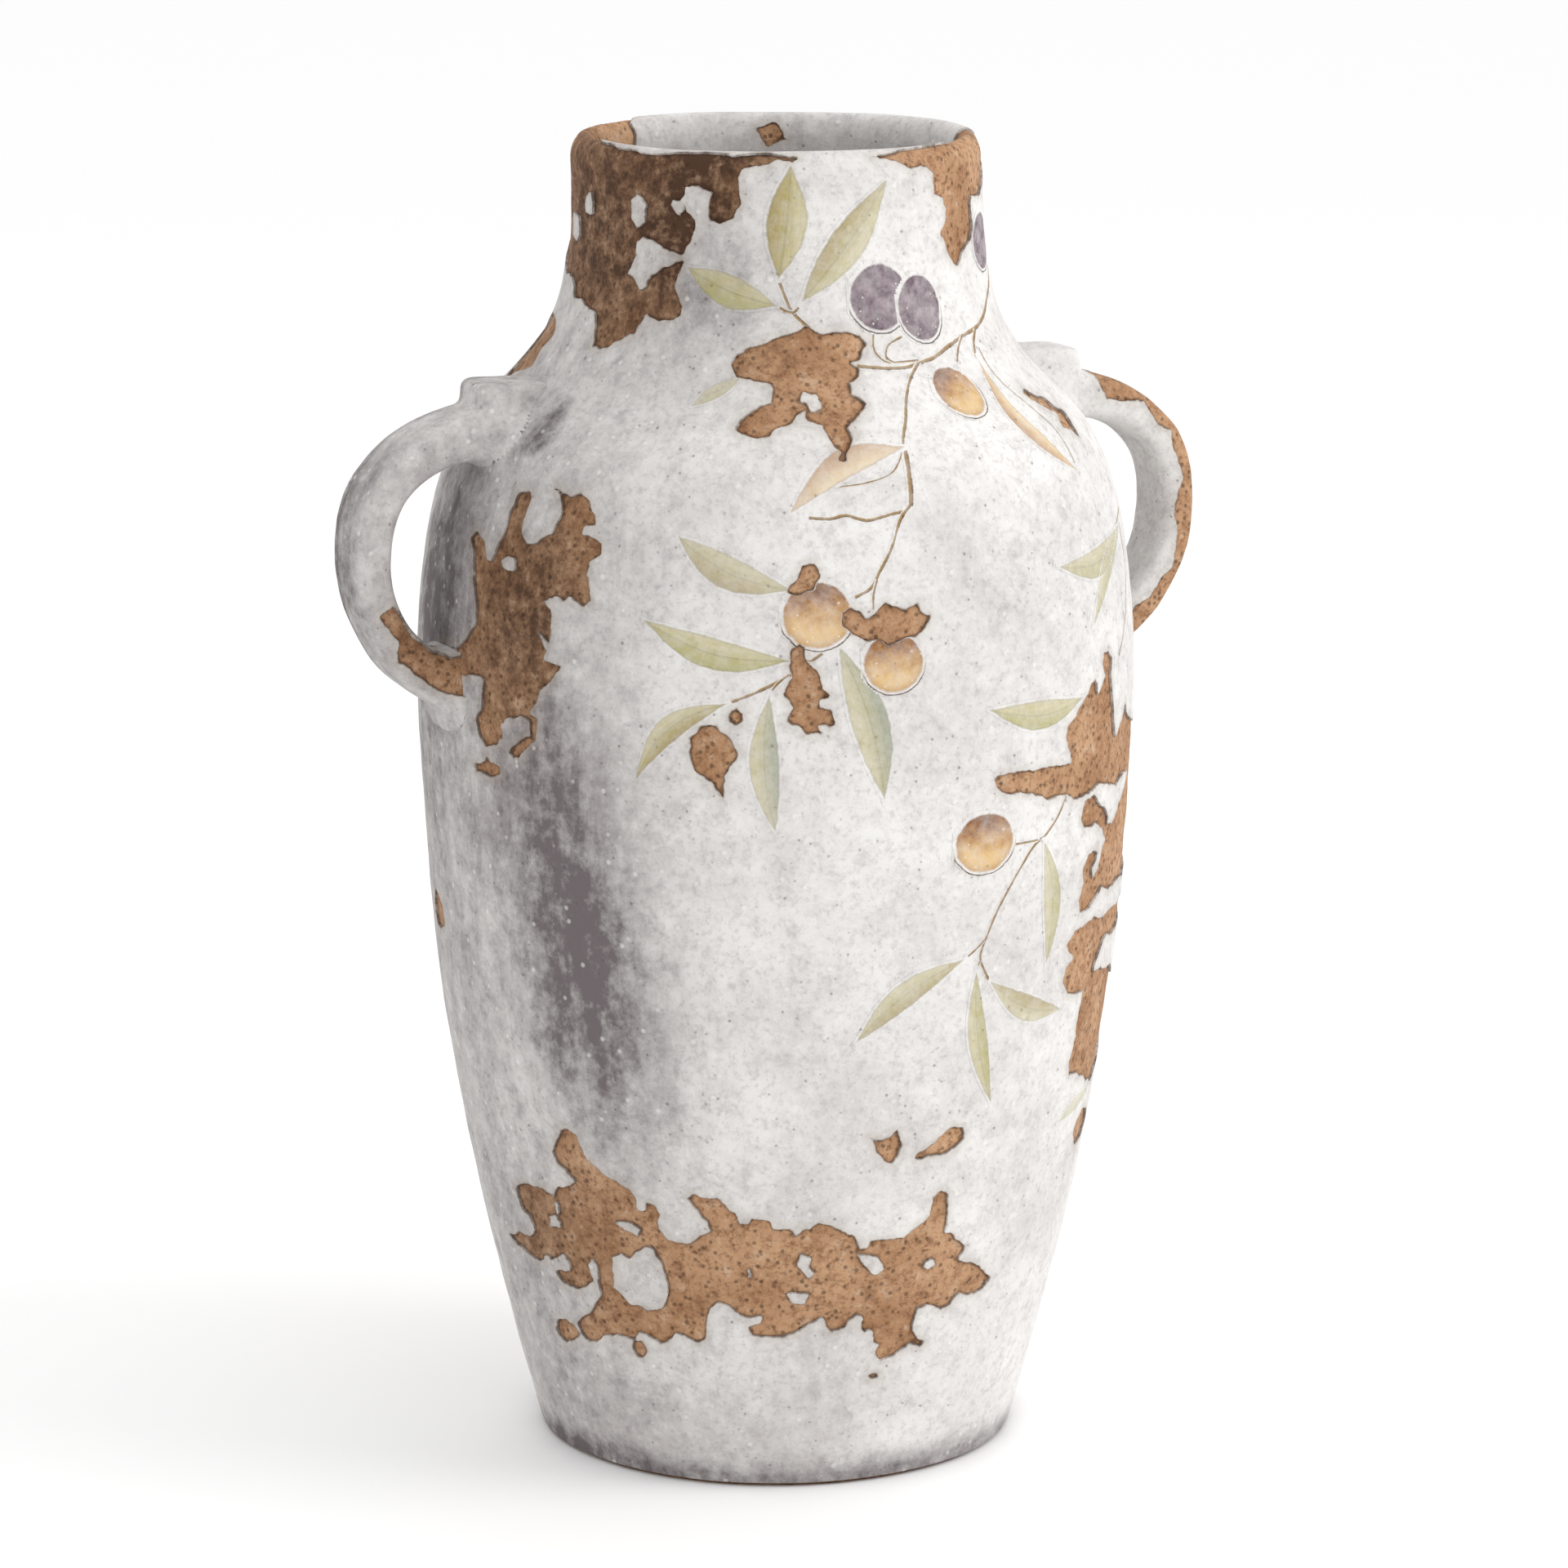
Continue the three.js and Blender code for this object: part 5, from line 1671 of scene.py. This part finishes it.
class AMPHORA_OT_stage(bpy.types.Operator):
    """Sets the pot on a plain pale floor in soft light, in front of the camera."""

    bl_idname = "amphora.stage"
    bl_label = "Stage"

    def execute(self, context):
        scene = context.scene
        camera = bpy.data.objects.new("camera", bpy.data.cameras.new("camera"))
        scene.collection.objects.link(camera)
        camera.location = (math.sin(CAMERA_TURN) * CAMERA_AWAY, -math.cos(CAMERA_TURN) * CAMERA_AWAY,
                           CAMERA_HEIGHT)
        camera.rotation_euler = (math.pi / 2 - CAMERA_DOWN, 0, CAMERA_TURN - CAMERA_ASIDE)
        camera.data.lens = LENS
        camera.data.clip_end = 50
        scene.camera = camera

        floor_mesh = bmesh.new()
        bmesh.ops.create_grid(floor_mesh, x_segments=1, y_segments=1, size=12)
        mesh = bpy.data.meshes.new("floor")
        floor_mesh.to_mesh(mesh)
        floor_mesh.free()
        floor = bpy.data.objects.new("floor", mesh)
        scene.collection.objects.link(floor)
        material, tree = new_material("studio_paper")
        shader = node(tree, "ShaderNodeBsdfPrincipled", {"Base Color": colour("#FFFFFF"), "Roughness": 0.9})
        node(tree, "ShaderNodeOutputMaterial", {"Surface": shader})
        mesh.materials.append(material)

        world = bpy.data.worlds.new("studio")
        world.use_nodes = True
        world.node_tree.nodes.clear()
        sky = node(world.node_tree, "ShaderNodeBackground", {"Color": colour("#FFFFFF"),
                                                             "Strength": SKY_STRENGTH})
        node(world.node_tree, "ShaderNodeOutputWorld", {"Surface": sky})
        scene.world = world
        for name, light in LIGHTS.items():
            area_light(name, *light)
        scene.view_settings.view_transform = "Standard"
        return {"FINISHED"}


# ---- Settings, panel and running ----

class AmphoraSettings(bpy.types.PropertyGroup):
    """What a user would change about the pot."""

    raggedness: bpy.props.FloatProperty(
        name="Raggedness", description="How deep the coat's broken edge is bitten on the wall",
        default=1.7 * MM, min=0, max=NEAR_EDGE * MM, subtype="DISTANCE", unit="LENGTH")
    handle_raggedness: bpy.props.FloatProperty(
        name="Handle raggedness", description="How deep the coat's broken edge is bitten on the handles",
        default=1.5 * MM, min=0, max=NEAR_EDGE * MM, subtype="DISTANCE", unit="LENGTH")
    coat_colour: bpy.props.FloatVectorProperty(
        name="Coat", description="The lime coat where it is cleanest",
        subtype="COLOR", size=4, min=0, max=1,
        default=colour("#E7E5E2"))
    coat_shade: bpy.props.FloatVectorProperty(
        name="Coat shade", description="The lime coat where it is dullest",
        subtype="COLOR", size=4, min=0, max=1,
        default=colour("#D4D0CD"))
    # The grey of the coat's stains, which is also the grey of the shade painted on it.
    stain_and_shade_colour: bpy.props.FloatVectorProperty(
        name="Stain", description="Smoke and damp on the coat",
        subtype="COLOR", size=4, min=0, max=1,
        default=colour("#6A6264"))
    clay_colour: bpy.props.FloatVectorProperty(
        name="Clay", description="The bare clay where it is palest",
        subtype="COLOR", size=4, min=0, max=1,
        default=colour("#C49C79"))
    clay_shade: bpy.props.FloatVectorProperty(
        name="Clay shade", description="The bare clay where it is darker",
        subtype="COLOR", size=4, min=0, max=1,
        default=colour("#A57C5A"))
    # The colour of soot on the bare clay, which is also the colour of the shade painted on it.
    soot_and_shade_colour: bpy.props.FloatVectorProperty(
        name="Soot", description="Soot on the bare clay",
        subtype="COLOR", size=4, min=0, max=1,
        default=colour("#4A3223"))


class AMPHORA_PT_panel(bpy.types.Panel):
    """The pot's settings, and its pieces, each made by one button."""

    bl_idname = "AMPHORA_PT_panel"
    bl_label = "Amphora"
    bl_space_type = "VIEW_3D"
    bl_region_type = "UI"
    bl_category = "Amphora"

    def draw(self, context):
        for name in AmphoraSettings.__annotations__:
            self.layout.prop(context.scene.amphora, name)
        for operator in OPERATORS:
            self.layout.operator(operator.bl_idname)


OPERATORS = (AMPHORA_OT_clay, AMPHORA_OT_coat, AMPHORA_OT_handles, AMPHORA_OT_leaves, AMPHORA_OT_olives,
             AMPHORA_OT_stems, AMPHORA_OT_stage)
CLASSES = (AmphoraSettings, *OPERATORS, AMPHORA_PT_panel)


def register():
    """Registers the classes and puts the settings on the scene."""
    for cls in CLASSES:
        bpy.utils.register_class(cls)
    bpy.types.Scene.amphora = bpy.props.PointerProperty(type=AmphoraSettings)


def unregister():
    """Takes them off again."""
    del bpy.types.Scene.amphora
    for cls in reversed(CLASSES):
        bpy.utils.unregister_class(cls)


def main():
    """Makes the whole pot."""
    register()
    bpy.ops.amphora.clay()
    bpy.ops.amphora.coat()
    bpy.ops.amphora.handles()
    bpy.ops.amphora.leaves()
    bpy.ops.amphora.olives()
    bpy.ops.amphora.stems()
    bpy.ops.amphora.stage()


if __name__ == "__main__":
    main()
